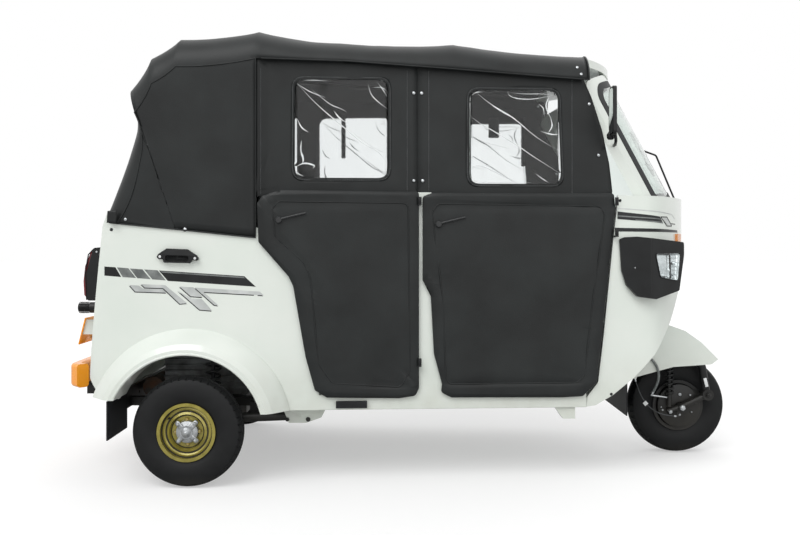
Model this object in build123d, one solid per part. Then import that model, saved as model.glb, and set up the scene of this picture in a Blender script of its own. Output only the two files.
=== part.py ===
from build123d import *
from math import atan, cos, radians, sin, sqrt, tan
import os

os.makedirs("parts", exist_ok=True)

# Three-wheeled passenger auto rickshaw. Millimetres, +X forward, +Y to the left, +Z up.
# Sizes along X are measured from the rear axle; every piece is moved by MID_X when it is
# written, so that the origin is under the middle of the vehicle's length, on the ground.

# ---- driving dimensions ---------------------------------------------------------------
WHEELBASE = 2000.0
REAR_TRACK = 1150.0
TYRE_R = 208.0
TYRE_W = 107.0
BUMPER_X = -520.0              # rearmost face of the bumper
MID_X = (WHEELBASE + TYRE_R + BUMPER_X) / 2

BODY_HALF = 574.0              # half width of the tub and of the canopy at the rear
TAPER_START_X = 250.0          # the sides run in towards the nose from here
NOSE_HALF = 494.0              # half width of the body at the front door's front edge
DOOR_FRONT_X = 1620.0
WALL = 20.0                    # body wall, skin and stiffeners together
SEAM = 0.3                     # gap between bolted pieces
SWING_GAP = 6.0                # gap between a door and the body behind it

SILL_Z = 281.0
FLOOR_Z = 318.0                # top of the floor pan
DECK_Z = 563.0                 # top of the deck over the engine bay
BELT_REAR_Z = 991.0            # lower edge of the canopy's quarter at the tail
BELT_FRONT_Z = 931.0           # and at the rear door
BELT_LAP = 40.0                # how far the tub reaches up behind the canopy's quarter

ARCH_R = 289.0
ARCH_LIP_R = 330.0
ARCH_HALF = 650.0              # half width over the flared arches
ARCH_CUT_Z = 331.0

DOOR_THICK = 20.0
DOOR_EDGE = 6.0                # thickness left at the hinged edge
DOOR_BEVEL = 60.0              # length of the bevel that frees the hinged edge
DOOR_SPLIT_X = 866.0           # hinge line of the rear door
DOOR_SPLIT_GAP = 12.0

CANOPY_THICK = 6.0
CANOPY_LAP = 0.7               # gap between the canopy's quarter and the tub
CANOPY_CORNER_R = 125.0
CANOPY_CROWN = 18.0
CANOPY_FRONT_X = 1520.0

NOSE_X = 2000.0
NOSE_ARC_R = 642.0
NOSE_CORNER_X = 1778.0         # where the sides meet the round front
GLASS_BASE_X = 1962.0
GLASS_BASE_Z = 1092.0
GLASS_SET = 38.0               # the windscreen's arc is this much tighter than the nose's
GLASS_ARC_R = NOSE_ARC_R - GLASS_SET
GLASS_RAKE = 28.2
GLASS_LENGTH = 600.0
GLASS_HALF = 415.0
GLASS_THICK = 5.0
SEAL_THICK = 16.0
PILLAR_W = 34.0
PILLAR_THICK = 26.0

RAKE = 25.0                    # steering axis, leaning back
STEER_X = 2020.0               # the axis passes through this place
STEER_Z = 300.0
COLUMN_R = 19.0
HEAD_R = 27.0
HEAD_LOW_Z = 590.0
HEAD_TOP_Z = 770.0
HANDLE_Z = 1010.0
FENDER_HALF = 118.0
FENDER_SKIN = 4.0

TUBE_R = 11.0
CURTAIN_THICK = 4.0
CURTAIN_DEPTH = 32.0           # how far inside the body side the curtains hang
CURTAIN_LOW_Z = 1112.0
PANE_THICK = 2.0
HUB_BORE_R = 15.05
AXLE_R = 15.0

nodes = {}


# ---- shared helpers -------------------------------------------------------------------
def outline(points, radius=0.0):
    """Closed face through the points, with rounded corners where a radius is given."""
    if not radius:
        return make_face(Polyline(*points, close=True))
    return make_face(FilletPolyline(*points, radius=radius, close=True))


def side_slab(points, y_low, y_high, radius=0.0):
    """Prism of an (x, z) outline between two values of y."""
    return Pos(0, y_high, 0) * extrude(Plane.XZ * outline(points, radius), amount=y_high - y_low)


def plan_slab(points, z_low, z_high, radius=0.0):
    """Prism of an (x, y) outline between two heights."""
    return Pos(0, 0, z_low) * extrude(outline(points, radius), amount=z_high - z_low)


def section_slab(points, x_low, x_high, radius=0.0):
    """Prism of a (y, z) outline between two values of x."""
    return Pos(x_low, 0, 0) * extrude(Plane.YZ * outline(points, radius), amount=x_high - x_low)


def block(x_low, x_high, y_low, y_high, z_low, z_high):
    size = (x_high - x_low, y_high - y_low, z_high - z_low)
    return Pos(x_low, y_low, z_low) * Box(*size, align=(Align.MIN, Align.MIN, Align.MIN))


def rod(start, end, radius):
    """Round bar between two points."""
    path = Line(start, end)
    return extrude(Plane(origin=start, z_dir=path % 0) * Circle(radius), amount=path.length)


def tube(points, radius, bend):
    """Round bar bent through the points."""
    path = FilletPolyline(*points, radius=bend)
    return sweep(Plane(origin=path @ 0, z_dir=path % 0) * Circle(radius), path=path)


def cord(points, radius):
    """Hose or cable: straight runs joined by tangent arcs that use nearly half of each run."""
    corners = [Vector(*p) for p in points]
    bends = []
    for before, here, after in zip(corners, corners[1:], corners[2:]):
        turn = radians((here - before).get_angle(after - here))
        bends.append(0.45 * min((here - before).length, (after - here).length) / tan(turn / 2))
    path = FilletPolyline(*points, radius=bends)
    return sweep(Plane(origin=path @ 0, z_dir=path % 0) * Circle(radius), path=path)


def both_sides(shape):
    return shape + mirror(shape, Plane.XZ)


def keep(name, shape):
    """Move a finished piece to the vehicle's frame and write it."""
    placed = Pos(-MID_X, 0, 0) * shape
    nodes[name] = placed
    export_step(placed, "parts/" + name + ".step")


def half_at(x):
    """Half width of the body side at x."""
    if x <= TAPER_START_X:
        return BODY_HALF
    return BODY_HALF - (x - TAPER_START_X) * (BODY_HALF - NOSE_HALF) / (DOOR_FRONT_X - TAPER_START_X)


TAPER = atan((BODY_HALF - NOSE_HALF) / (DOOR_FRONT_X - TAPER_START_X))
RIGHT_SIDE = Plane(
    origin=(TAPER_START_X, -BODY_HALF, 0),
    x_dir=(cos(TAPER), sin(TAPER), 0),
    z_dir=(sin(TAPER), -cos(TAPER), 0),
)


def side_panel(points, inner, outer, radius=0.0):
    """Plate on the tapered right side; inner and outer are distances out of the body side."""
    local = [((x - TAPER_START_X) / cos(TAPER), z) for x, z in points]
    return RIGHT_SIDE * Pos(0, 0, inner) * extrude(outline(local, radius), amount=outer - inner)


# ---- tub, floor and underframe --------------------------------------------------------
TUB_FRONT_X = 487.0
# side of the tub: belt, front edge that passes under the rear door, sill and tail
TUB_SIDE = [
    (-306, BELT_REAR_Z + BELT_LAP), (240, BELT_FRONT_Z + BELT_LAP), (272, BELT_FRONT_Z + BELT_LAP - 4),
    (277, 915), (389, 780), (406, 750), (452, 480), (TUB_FRONT_X, 350), (TUB_FRONT_X, SILL_Z), (240, SILL_Z),
    (-330, ARCH_CUT_Z), (-385, 404), (-325, 975)]
TUB_CAVITY = [
    (-286, 1200), (900, 1200), (900, 200), (-311, 200), (-311, 335), (-364, 406), (-305, 975)]
TUB_CORNER = 60.0
WHEEL_Y = REAR_TRACK / 2
ARCH_RING_T = 14.0
ARCH_RING_W = 84.0


def tub_plan(inset):
    """Plan of the tub: square tail with round corners, tapered from the rear door on."""
    tail = -390.0 + inset
    edge = [(tail, -BODY_HALF + inset)] + [(x, -half_at(x) + inset) for x in (TAPER_START_X, 900)]
    face = outline(edge + [(x, -y) for x, y in reversed(edge)])
    corners = face.vertices().sort_by(Axis.X)[:2]
    return extrude(fillet(corners, TUB_CORNER - inset), amount=1200)


def tub_core(inset):
    return tub_plan(inset) & side_slab(TUB_SIDE, -ARCH_HALF, ARCH_HALF)


def tub_cavity(inset):
    return tub_plan(inset) & side_slab(TUB_CAVITY, -ARCH_HALF, ARCH_HALF)


def wheel_disc(radius, y_low, y_high):
    return Pos(0, y_high, TYRE_R) * Rot(90, 0, 0) * Cylinder(
        radius, y_high - y_low, align=(Align.CENTER, Align.CENTER, Align.MIN))


def tub():
    shell = tub_core(0) - tub_cavity(WALL)
    ring = wheel_disc(ARCH_R + ARCH_RING_T, BODY_HALF - ARCH_RING_W, BODY_HALF) - wheel_disc(
        ARCH_R, 0, ARCH_HALF)
    ring = ring & block(-400, 257, 0, BODY_HALF, ARCH_CUT_Z, 700)
    profile = outline([
        (ARCH_R - 6, BODY_HALF - 4), (ARCH_LIP_R + 55, BODY_HALF - 4), (ARCH_LIP_R, ARCH_HALF - 14),
        (ARCH_LIP_R - 20, ARCH_HALF), (ARCH_R - 6, ARCH_HALF)])
    flare = Pos(0, 0, TYRE_R) * revolve(profile, axis=Axis.Y)
    flare = flare & (block(-372, 0, BODY_HALF - 4, ARCH_HALF, ARCH_CUT_Z, 700)
                     + block(0, 420, BODY_HALF - 4, ARCH_HALF, SILL_Z, 700))
    flare = flare - (tub_plan(0) & block(200, 500, 0, ARCH_HALF, 0, 700))
    shell = shell + both_sides(ring + flare)
    return shell - wheel_disc(ARCH_R, -ARCH_HALF - 5, -BODY_HALF + ARCH_RING_W) - wheel_disc(
        ARCH_R, BODY_HALF - ARCH_RING_W, ARCH_HALF + 5)


keep("rear_body", tub())
ARM_INSET = 134.0              # the suspension arms lie this far in from the body side
ARM_Y = BODY_HALF - ARM_INSET
SPRING_TOP = 500.0
DECK_FRONT_X = 395.0
DECK_T = 18.0


def deck():
    top = block(-370, DECK_FRONT_X, -BODY_HALF, BODY_HALF, DECK_Z - DECK_T, DECK_Z)
    front = block(DECK_FRONT_X - DECK_T, DECK_FRONT_X, -BODY_HALF, BODY_HALF, FLOOR_Z + SEAM, DECK_Z - DECK_T)
    tower = block(30, 98, ARM_Y - 32, ARM_Y + 42, SPRING_TOP + SEAM, DECK_Z - DECK_T + 1)
    return ((top + front) & tub_cavity(WALL + SEAM)) + both_sides(tower)


keep("engine_deck", deck())


def floor():
    """Floor pan: wide between the sills, narrow where it runs into the tub."""
    edge = [(x, -half_at(x)) for x in (TUB_FRONT_X + SEAM, COWL_LOW_X - SEAM)]
    wide = plan_slab(edge + [(x, -y) for x, y in reversed(edge)], SILL_Z, FLOOR_Z)
    narrow = block(DECK_FRONT_X - DECK_T, TUB_FRONT_X + 1, -BODY_HALF, BODY_HALF, SILL_Z, FLOOR_Z)
    jack = side_slab([(1388, 281.5), (1467, 281.5), (1467, 236), (1420, 236), (1402, 262)], -496, -440)
    return wide + (narrow & tub_cavity(WALL + SEAM)) + both_sides(jack)


COWL_LOW_X = 1510.0
keep("floor_pan", floor())

ENGINE = (-190.0, 150.0, -190.0, 190.0, 200.0, 470.0)    # low and high x, y and z
RAIL_Y = 250.0
RAIL_W = 40.0
RAIL_LOW_Z = 246.0
TOW_BOLT_Y = 165.0             # bolt holes of a towing bracket, in the tail member
TOW_HOLE_R = 6.5


def underframe():
    top = SILL_Z - SEAM
    rails = both_sides(block(-345, 1480, RAIL_Y - RAIL_W / 2, RAIL_Y + RAIL_W / 2, RAIL_LOW_Z, top))
    tail = block(-345, -305, -400, 400, RAIL_LOW_Z, ARCH_CUT_Z - 5)
    front = block(1440, 1480, -400, 400, RAIL_LOW_Z, top)
    middle = block(200, 240, -400, 400, RAIL_LOW_Z, top)
    inner = RAIL_Y - RAIL_W / 2 + 1
    mounts = both_sides(block(-170, -130, ENGINE[3] + SEAM, inner, 250, 280)
                        + block(90, 130, ENGINE[3] + SEAM, inner, 250, 280))
    stays = both_sides(block(-500, -344, 180, 240, 290, 326) + block(-500, -486, 180, 240, 290, 344.6))
    holes = both_sides(rod((-350, TOW_BOLT_Y, 286), (-300, TOW_BOLT_Y, 286), TOW_HOLE_R))
    return rails + tail + front + middle + mounts + stays - holes


keep("underframe", underframe())

# ---- cowl -----------------------------------------------------------------------------
# side view of the nose: from the windscreen's foot round to the sill
NOSE_CHAIN = [
    (1965, GLASS_BASE_Z), (2000, 1046), (2000, 950), (1975, 850), (1925, 720), (1862, 600), (1780, 482),
    (1697, 394), (1612, 326), (1545, 288), (1500, SILL_Z)]
COWL_REAR = [(1513, 322), (1555, 376), (1578, 570), (1613, 919), (1628, 1042), (1632, GLASS_BASE_Z + 3)]
COWL_SIDE = NOSE_CHAIN[:-1] + [(COWL_LOW_X, SILL_Z + 2)] + COWL_REAR


def cowl_plan(inset):
    """Plan of the nose: tapered sides closed by a round front."""
    radius = NOSE_ARC_R - inset
    centre = NOSE_X - NOSE_ARC_R
    half = half_at(NOSE_CORNER_X) - inset
    reach = centre + sqrt(radius ** 2 - half ** 2)
    low = half_at(COWL_LOW_X) - inset
    front = ThreePointArc((reach, -half), (centre + radius, 0), (reach, half))
    sides = Polyline((reach, half), (COWL_LOW_X - 1, low), (COWL_LOW_X - 1, -low), (reach, -half))
    face = make_face([front, *sides.edges()])
    corners = face.vertices().sort_by(Axis.X)[-2:]
    return fillet(corners, 110 - inset)


def cowl_solid(inset):
    return extrude(cowl_plan(inset), amount=1200)


def cowl_cavity(inset):
    """Space inside the nose, open to the cabin and at the windscreen."""
    edge = [(1965, 1500)] + NOSE_CHAIN + [(1200, SILL_Z), (1200, 1500)]
    side = offset(Plane.XZ * outline(edge), -inset)
    return cowl_solid(inset) & (Pos(0, 700, 0) * extrude(side, amount=1400))


def axis_point(z):
    """Point of the steering axis at a height."""
    return (STEER_X - (z - STEER_Z) * tan(radians(RAKE)), 0, z)


def cowl():
    outer = cowl_solid(0) & side_slab(COWL_SIDE, -600, 600)
    column = rod(axis_point(450), axis_point(900), HEAD_R + SEAM)
    return outer - cowl_cavity(WALL) - column


keep("front_cowl", cowl())


def steering_head():
    """Fixed sleeve that the steering column turns in, with a flange on the toe board."""
    sleeve = rod(axis_point(HEAD_LOW_Z), axis_point(HEAD_TOP_Z), HEAD_R)
    flange = rod(axis_point(HEAD_TOP_Z - 60), axis_point(HEAD_TOP_Z - 44), HEAD_R + 16)
    brace = block(1815, 1858, -12, 12, 690, 716) + block(1846, 2000, -30, 30, 690, 716)
    return (sleeve + flange + (brace & cowl_cavity(WALL + SEAM))) - rod(axis_point(450), axis_point(900), COLUMN_R + 0.05)


keep("steering_head", steering_head())


def dashboard():
    return cowl_cavity(WALL + SEAM) & block(1858, 2100, -600, 600, 900, 1040)


keep("dashboard", dashboard())


# ---- windscreen -----------------------------------------------------------------------
GLASS_DIR = Vector(-sin(radians(GLASS_RAKE)), 0, cos(radians(GLASS_RAKE)))
GLASS_PLANE = Plane(
    origin=(GLASS_BASE_X, 0, GLASS_BASE_Z), x_dir=(0, 1, 0),
    z_dir=(cos(radians(GLASS_RAKE)), 0, sin(radians(GLASS_RAKE))))


def curved_band(half, length, low, back, thick, radius):
    """Raked sheet that follows the windscreen's arc, as a rounded rectangle seen square on."""
    outer = GLASS_ARC_R - back
    inner = outer - thick
    centre = GLASS_BASE_X - GLASS_ARC_R
    arc = half + 40.0
    front = ThreePointArc(
        (centre + sqrt(outer ** 2 - arc ** 2), -arc), (centre + outer, 0),
        (centre + sqrt(outer ** 2 - arc ** 2), arc))
    rear = ThreePointArc(
        (centre + sqrt(inner ** 2 - arc ** 2), arc), (centre + inner, 0),
        (centre + sqrt(inner ** 2 - arc ** 2), -arc))
    ends = [Line(front @ 1, rear @ 0), Line(rear @ 1, front @ 0)]
    face = Pos(0, 0, GLASS_BASE_Z - 300) * make_face([front, rear, *ends])
    base = GLASS_DIR * (-300 / cos(radians(GLASS_RAKE)))
    sheet = Pos(base.X, 0, 0) * extrude(face, amount=GLASS_LENGTH + 700, dir=(GLASS_DIR.X, 0, GLASS_DIR.Z))
    window = [(-half, low), (half, low), (half, low + length), (-half, low + length)]
    cutter = GLASS_PLANE * Pos(0, 0, -500) * extrude(outline(window, radius), amount=800)
    return sheet & cutter


GLASS_LOW = 34.0
keep("windscreen_glass", curved_band(GLASS_HALF, GLASS_LENGTH - 2 * GLASS_LOW, GLASS_LOW, 4, GLASS_THICK, 60))
seal_outer = curved_band(GLASS_HALF + 14, GLASS_LENGTH - 2 * GLASS_LOW + 28, GLASS_LOW - 14, 0, SEAL_THICK, 70)
seal_bore = curved_band(GLASS_HALF + SEAM, GLASS_LENGTH - 2 * GLASS_LOW + 2 * SEAM, GLASS_LOW - SEAM, 4 - SEAM,
                        GLASS_THICK + 2 * SEAM, 60)
seal_sight = curved_band(GLASS_HALF - 14, GLASS_LENGTH - 2 * GLASS_LOW - 28, GLASS_LOW + 14, -2, SEAL_THICK + 6, 50)
keep("windscreen_seal", seal_outer - seal_bore - seal_sight)
frame_outer = curved_band(GLASS_HALF + 14 + PILLAR_W, GLASS_LENGTH + 8, 0, 2, PILLAR_THICK, 40)
frame_bore = curved_band(
    GLASS_HALF + 14 + SEAM, GLASS_LENGTH - 2 * GLASS_LOW + 28 + 2 * SEAM, GLASS_LOW - 14 - SEAM, 0, PILLAR_THICK + 6, 70)
HEADER_LOW = 1606.0
HEADER_TOP = 1636.0
HEADER_LIP_HALF = 444.0


def header():
    """Roof panel in front of the canopy's bow, with a lip under the canopy that ties the two posts."""
    shift = (HEADER_LOW - GLASS_BASE_Z) * tan(radians(GLASS_RAKE))
    radius = GLASS_ARC_R + 4
    centre = GLASS_BASE_X - GLASS_ARC_R - shift
    seat = CANOPY_FRONT_X + SEAM
    half = sqrt(radius ** 2 - (seat - centre) ** 2)
    front = ThreePointArc((seat, -half), (centre + radius, 0), (seat, half))
    face = make_face([front, Line((seat, half), (seat, -half))])
    panel = Pos(0, 0, HEADER_LOW) * extrude(face, amount=HEADER_TOP - HEADER_LOW)
    lip = block(CANOPY_FRONT_X - 60, seat + 1, -HEADER_LIP_HALF, HEADER_LIP_HALF, HEADER_LOW, HEADER_LOW + 15)
    return panel + lip


posts = (frame_outer - frame_bore) & block(1300, 2100, -600, 600, GLASS_BASE_Z + 3.2, HEADER_LOW + 4)
keep("windscreen_frame", posts + header())

# ---- canopy and its bows --------------------------------------------------------------
# x, height of the canopy over each bow
BOWS = [(-400, 1700), (-50, 1700), (TAPER_START_X, 1730), (560, 1690), (1000, 1690), (CANOPY_FRONT_X, 1648)]
CANOPY_SIDE = [
    (-398, 800), (-333, BELT_REAR_Z), (-212, 1346), (-213, 1440), (-238, 1500), (-160, 1625), (-50, 1700),
    (235, 1760), (1700, 1760), (1700, 800)]


def bow_face(x, top, inset):
    half = half_at(x) + CANOPY_LAP + CANOPY_THICK - inset
    height = top - inset
    corner = CANOPY_CORNER_R - inset
    low = 850.0
    turn = corner * (1 - cos(radians(45)))
    left = Line((-half, low), (-half, height - corner))
    first = ThreePointArc(left @ 1, (-half + turn, height - turn), (-half + corner, height))
    roof = ThreePointArc(first @ 1, (0, height + CANOPY_CROWN), (half - corner, height))
    second = ThreePointArc(roof @ 1, (half - turn, height - turn), (half, height - corner))
    right = Line(second @ 1, (half, low))
    base = Line(right @ 1, left @ 0)
    plane = Plane(origin=(x, 0, 0), x_dir=(0, 1, 0), z_dir=(1, 0, 0))
    return plane * make_face([left, first, roof, second, right, base])


def canopy_solid(inset):
    shape = loft([bow_face(x, top, inset) for x, top in BOWS], ruled=True)
    side = [(x, z) for x, z in CANOPY_SIDE]
    cutter = Plane.XZ * outline(side)
    if inset:
        cutter = offset(cutter, -inset)
    return shape & (Pos(0, 700, 0) * extrude(cutter, amount=1400))


QUARTER_FRONT_X = 250.0
VALANCE = [(QUARTER_FRONT_X, 1606), (600, 1600), (CANOPY_FRONT_X + 1, 1538)]


def canopy():
    shell = canopy_solid(0) - canopy_solid(CANOPY_THICK)
    front_cut = block(CANOPY_FRONT_X, 1800, -900, 900, 700, 1800)
    doorway = side_slab([(QUARTER_FRONT_X, 800)] + VALANCE + [(CANOPY_FRONT_X + 1, 800)], -900, 900)
    hem = side_slab([(-500, 700), (400, 700), (257, BELT_FRONT_Z), (-309, BELT_REAR_Z), (-500, BELT_REAR_Z + 15)],
                    -900, 900)
    window = section_slab([(-330, 1110), (330, 1110), (330, 1310), (-330, 1310)], -500, 0, radius=50)
    return shell - front_cut - doorway - hem - window


keep("canopy", canopy())

BOW_INSET = CURTAIN_DEPTH + TUBE_R + 2.0
RAIL_R = TUBE_R - 2.0
# x, height of the roof over the tube, foot of the tube
HOOPS = [(-50, 1674, 900.0), (235, 1712, 900.0), (905, 1674, FLOOR_Z + SEAM)]


def hoop(x, top, foot):
    half = half_at(x) - BOW_INSET
    height = top - TUBE_R
    points = [(x, -half, foot), (x, -half, height - 105), (x, -half + 75, height),
              (x, half - 75, height), (x, half, height - 105), (x, half, foot)]
    return tube(points, TUBE_R, 60)


def frame_tubes():
    """Canopy bows, B-pillar bow and roof rails, welded into one frame."""
    rail = [(-52, 372, 1661), (235, 372, 1699), (560, 372, 1662), (905, 372, 1661), (CANOPY_FRONT_X - 62, 372, 1621)]
    frame = both_sides(tube(rail, RAIL_R, 200))
    for x, top, foot in HOOPS:
        frame = frame + hoop(x, top, foot)
    for x, top, foot in HOOPS[:2]:
        half = half_at(x)
        frame = frame + both_sides(block(x - 15, x + 15, half - BOW_INSET, half - WALL - SEAM, 905, 930))
    return frame


keep("tube_frame", frame_tubes())

# ---- upper side curtains with clear windows --------------------------------------------
# outline of each curtain and of its window
CURTAINS = [
    ([(283, CURTAIN_LOW_Z), (283, 1622), (600, 1620), (858, 1606), (858, CURTAIN_LOW_Z)],
     [(394, 1160), (394, 1535), (749, 1535), (749, 1160)], (600, 850)),
    ([(866, CURTAIN_LOW_Z), (866, 1605), (1498, 1566), (1535, 1480), (1578, 1350), (1606, 1220), (1618, CURTAIN_LOW_Z)],
     [(1062, 1140), (1062, 1500), (1400, 1500), (1415, 1140)], (875, 1000)),
]
HEM_Z = (1604.0, 1612.0)
HEM_OUT = -9.6
curtain_solid = None
pane_solid = None
for edge, window, hem in CURTAINS:
    sheet = side_panel(edge, -CURTAIN_DEPTH, -CURTAIN_DEPTH + CURTAIN_THICK)
    strip = [(hem[0], HEM_Z[0]), (hem[1], HEM_Z[0]), (hem[1], HEM_Z[1]), (hem[0], HEM_Z[1])]
    sheet = sheet + (side_panel(strip, -CURTAIN_DEPTH, HEM_OUT) & block(0, 1500, -700, 0, 0, 1700))
    hole = side_panel(window, -CURTAIN_DEPTH - 1, -CURTAIN_DEPTH + CURTAIN_THICK + 1, 45)
    pane = side_panel(window, -CURTAIN_DEPTH + 1, -CURTAIN_DEPTH + 1 + PANE_THICK, 45)
    curtain_solid = both_sides(sheet - hole) + curtain_solid if curtain_solid else both_sides(sheet - hole)
    pane_solid = both_sides(pane) + pane_solid if pane_solid else both_sides(pane)
rear_pane = side_slab([(-298, 1100), (-222.6, 1322), (-219.6, 1322), (-295, 1100)], -330, 330) & section_slab(
    [(-329.7, 1110.3), (329.7, 1110.3), (329.7, 1309.7), (-329.7, 1309.7)], -500, 0, radius=49.7)
pane_solid = pane_solid + rear_pane
keep("side_curtains", curtain_solid)
keep("clear_windows", pane_solid)

# ---- doors ----------------------------------------------------------------------------
DOOR_IN = SWING_GAP
DOOR_OUT = SWING_GAP + DOOR_THICK
REAR_DOOR = [
    (DOOR_SPLIT_X - 2, 1106), (344, 1110), (276, 1089), (257, 1060), (262, 915), (374, 786), (391, 750),
    (437, 485), (472, 358), (517, 330), (789, 325), (850, 334), (DOOR_SPLIT_X - 2, 362)]
FRONT_LOW = DOOR_SPLIT_X + DOOR_SPLIT_GAP
FRONT_DOOR = [
    (FRONT_LOW, 1088), (917, 1102), (1612, 1102), (1617, 1042), (1603, 919), (1568, 570), (1545, 376),
    (1491, 326), (1412, 322), (987, 326), (948, 346), (952, 376), (921, 492), (909, 710), (FRONT_LOW, 771)]


HINGE_PIN_R = 3.5
HINGE_BORE_R = 3.55
BARREL_R = 7.0
BARREL_H = 26.0
LEAF_H = 5.0
NOTCH_R = 14.0
ALONG = Plane(origin=RIGHT_SIDE.origin, x_dir=RIGHT_SIDE.x_dir, z_dir=(0, 0, 1))


def upright(u, z, radius, height):
    """Vertical cylinder on a hinge line, u along the side, z at its foot."""
    return ALONG * Pos(u, -DOOR_OUT, z) * Cylinder(radius, height, align=(Align.CENTER, Align.CENTER, Align.MIN))


def leaf(x, z):
    """Fixed half of a hinge: a leaf from the body side with an upright pin."""
    u = (x - TAPER_START_X) / cos(TAPER)
    plate = ALONG * Pos(u, -(DOOR_OUT + 5 + SEAM) / 2, z - SEAM - LEAF_H / 2) * Box(12, DOOR_OUT + 5 - SEAM, LEAF_H)
    return plate + upright(u, z - LEAF_H, HINGE_PIN_R, LEAF_H + BARREL_H)


def door(points, hinge_x, hinge_heights):
    slab = side_panel(points, DOOR_IN, DOOR_OUT)
    u = (hinge_x - TAPER_START_X) / cos(TAPER)
    wedge = make_face(Polyline(
        (u - DOOR_BEVEL, DOOR_IN - 1), (u - DOOR_BEVEL, DOOR_IN), (u, DOOR_OUT - DOOR_EDGE),
        (u + 30, DOOR_OUT - DOOR_EDGE), (u + 30, DOOR_IN - 1), close=True))
    slab = slab - ALONG * extrude(mirror(wedge, Plane.XZ), amount=1300)
    for z in hinge_heights:
        strap = ALONG * Pos(u - 13, -DOOR_OUT + 3, z + BARREL_H / 2) * Box(26, 6, BARREL_H)
        slab = slab - upright(u, z - LEAF_H - 6, NOTCH_R, LEAF_H + 6) + strap + upright(u, z, BARREL_R, BARREL_H)
        slab = slab - upright(u, z - 1, HINGE_BORE_R, BARREL_H + 2)
    return slab


def door_handle(x, z):
    """Pull knob with its short rod on the door's outer face."""
    u = (x - TAPER_START_X) / cos(TAPER)
    plane = RIGHT_SIDE * Pos(u, z, DOOR_OUT - 0.5)
    knob = plane * Cylinder(13, 12, align=(Align.CENTER, Align.CENTER, Align.MIN))
    bar = plane * Pos(48, 12, 0) * Rot(0, 0, 16) * Box(90, 10, 9, align=(Align.CENTER, Align.CENTER, Align.MIN))
    return knob + bar


# outline, hinge line, feet of the hinge barrels, handle
DOORS = {
    "door_rear": (REAR_DOOR, DOOR_SPLIT_X, (450.0, 1060.0), (338, 998)),
    "door_front": (FRONT_DOOR, DOOR_FRONT_X, (940.0, 1060.0), (938, 983)),
}
leaves = None
for name, (points, hinge_x, heights, handle) in DOORS.items():
    shape = door(points, hinge_x, heights) + door_handle(*handle)
    keep(name + "_right", shape)
    keep(name + "_left", mirror(shape, Plane.XZ))
    for z in heights:
        leaves = both_sides(leaf(hinge_x, z)) + leaves if leaves else both_sides(leaf(hinge_x, z))
keep("door_hinges", leaves)
PILLAR = [(850, FLOOR_Z + SEAM), (962, FLOOR_Z + SEAM), (935, 490), (922, 710), (912, 800), (912, 1104), (850, 1104)]
keep("b_pillars", both_sides(side_panel(PILLAR, -WALL, 0)))

# ---- seats ----------------------------------------------------------------------------
CUSHION_HALF = 500.0
CUSHION_THICK = 85.0
bench = block(-60, 405, -CUSHION_HALF, CUSHION_HALF, DECK_Z + SEAM, DECK_Z + CUSHION_THICK)
keep("bench_cushion", fillet(bench.edges(), 18))
back = side_slab([(-66, DECK_Z + SEAM), (-150, DECK_Z + SEAM), (-225, 1080), (-145, 1090)],
                 -CUSHION_HALF, CUSHION_HALF, radius=18)
keep("bench_backrest", back)
SEAT_BOX_TOP = 520.0
seat_box = block(960, 1250, -170, 170, FLOOR_Z + SEAM, SEAT_BOX_TOP)
seat = block(935, 1290, -220, 220, SEAT_BOX_TOP + SEAM, SEAT_BOX_TOP + 70)
keep("driver_seat", fillet(seat.edges(), 18))
post = both_sides(block(915, 927, 120, 145, SEAT_BOX_TOP - 60, 700)) + both_sides(
    block(915, 961, 120, 145, SEAT_BOX_TOP - 60, SEAT_BOX_TOP - 30))
keep("driver_seat_box", seat_box + post)
rest = block(927 + SEAM, 975, -215, 215, 640, 860)
keep("driver_backrest", fillet(rest.edges(), 15))

# ---- power pack and rear suspension -----------------------------------------------------
keep("engine", block(*ENGINE))
HUB_INNER_Y = 512.0            # inboard face of the rear hub
shaft = rod((0, 191.2, TYRE_R + 18), (0, 470, TYRE_R), 12) + rod((0, 470, TYRE_R), (0, 500, TYRE_R), 26)
keep("drive_shafts", both_sides(shaft))


PIVOT_R = 9.0


def trailing_arm():
    beam = tube([(400, ARM_Y, 240), (200, ARM_Y, 232), (75, ARM_Y + 8, 222), (-20, ARM_Y + 30, TYRE_R)], 19, 60)
    beam = beam + rod((400, ARM_Y - 20, 240), (400, ARM_Y + 20, 240), 23)
    beam = beam - rod((400, ARM_Y - 40, 240), (400, ARM_Y + 40, 240), PIVOT_R + 0.05)
    boss = rod((0, 470, TYRE_R), (0, HUB_INNER_Y - 1, TYRE_R), 34)
    axle = rod((0, 470, TYRE_R), (0, HUB_INNER_Y + 40, TYRE_R), AXLE_R)
    cup = Pos(64, ARM_Y + 8, 236) * Cylinder(34, 12, align=(Align.CENTER, Align.CENTER, Align.MIN))
    return beam + boss + axle + cup


keep("trailing_arms", both_sides(trailing_arm() - rod((0, 460, TYRE_R), (0, 500 + SEAM, TYRE_R), 26 + SEAM)
                                 - rod((0, 400, TYRE_R + 8), (0, 470, TYRE_R), 12 + 2)))


def arm_bracket():
    plate = side_slab([(337, SILL_Z - SEAM), (512, SILL_Z - SEAM), (489, 237), (430, 216), (363, 216)], 0, 14)
    pair = Pos(0, ARM_Y - 38, 0) * plate + Pos(0, ARM_Y + 24, 0) * plate
    pin = rod((400, ARM_Y - 40, 240), (400, ARM_Y + 40, 240), PIVOT_R)
    return pair + pin


keep("arm_brackets", both_sides(arm_bracket()) )


def coil_spring(x, y, low, high, radius, wire, turns):
    """Bellows solid: one round rib for each turn of the coil."""
    pitch = (high - low) / turns
    shape = Pos(x, y, low) * Cylinder(radius - wire, high - low, align=(Align.CENTER, Align.CENTER, Align.MIN))
    for turn in range(turns):
        shape = shape + Pos(x, y, low + (turn + 0.5) * pitch) * Torus(radius - wire, wire)
    return shape


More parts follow.
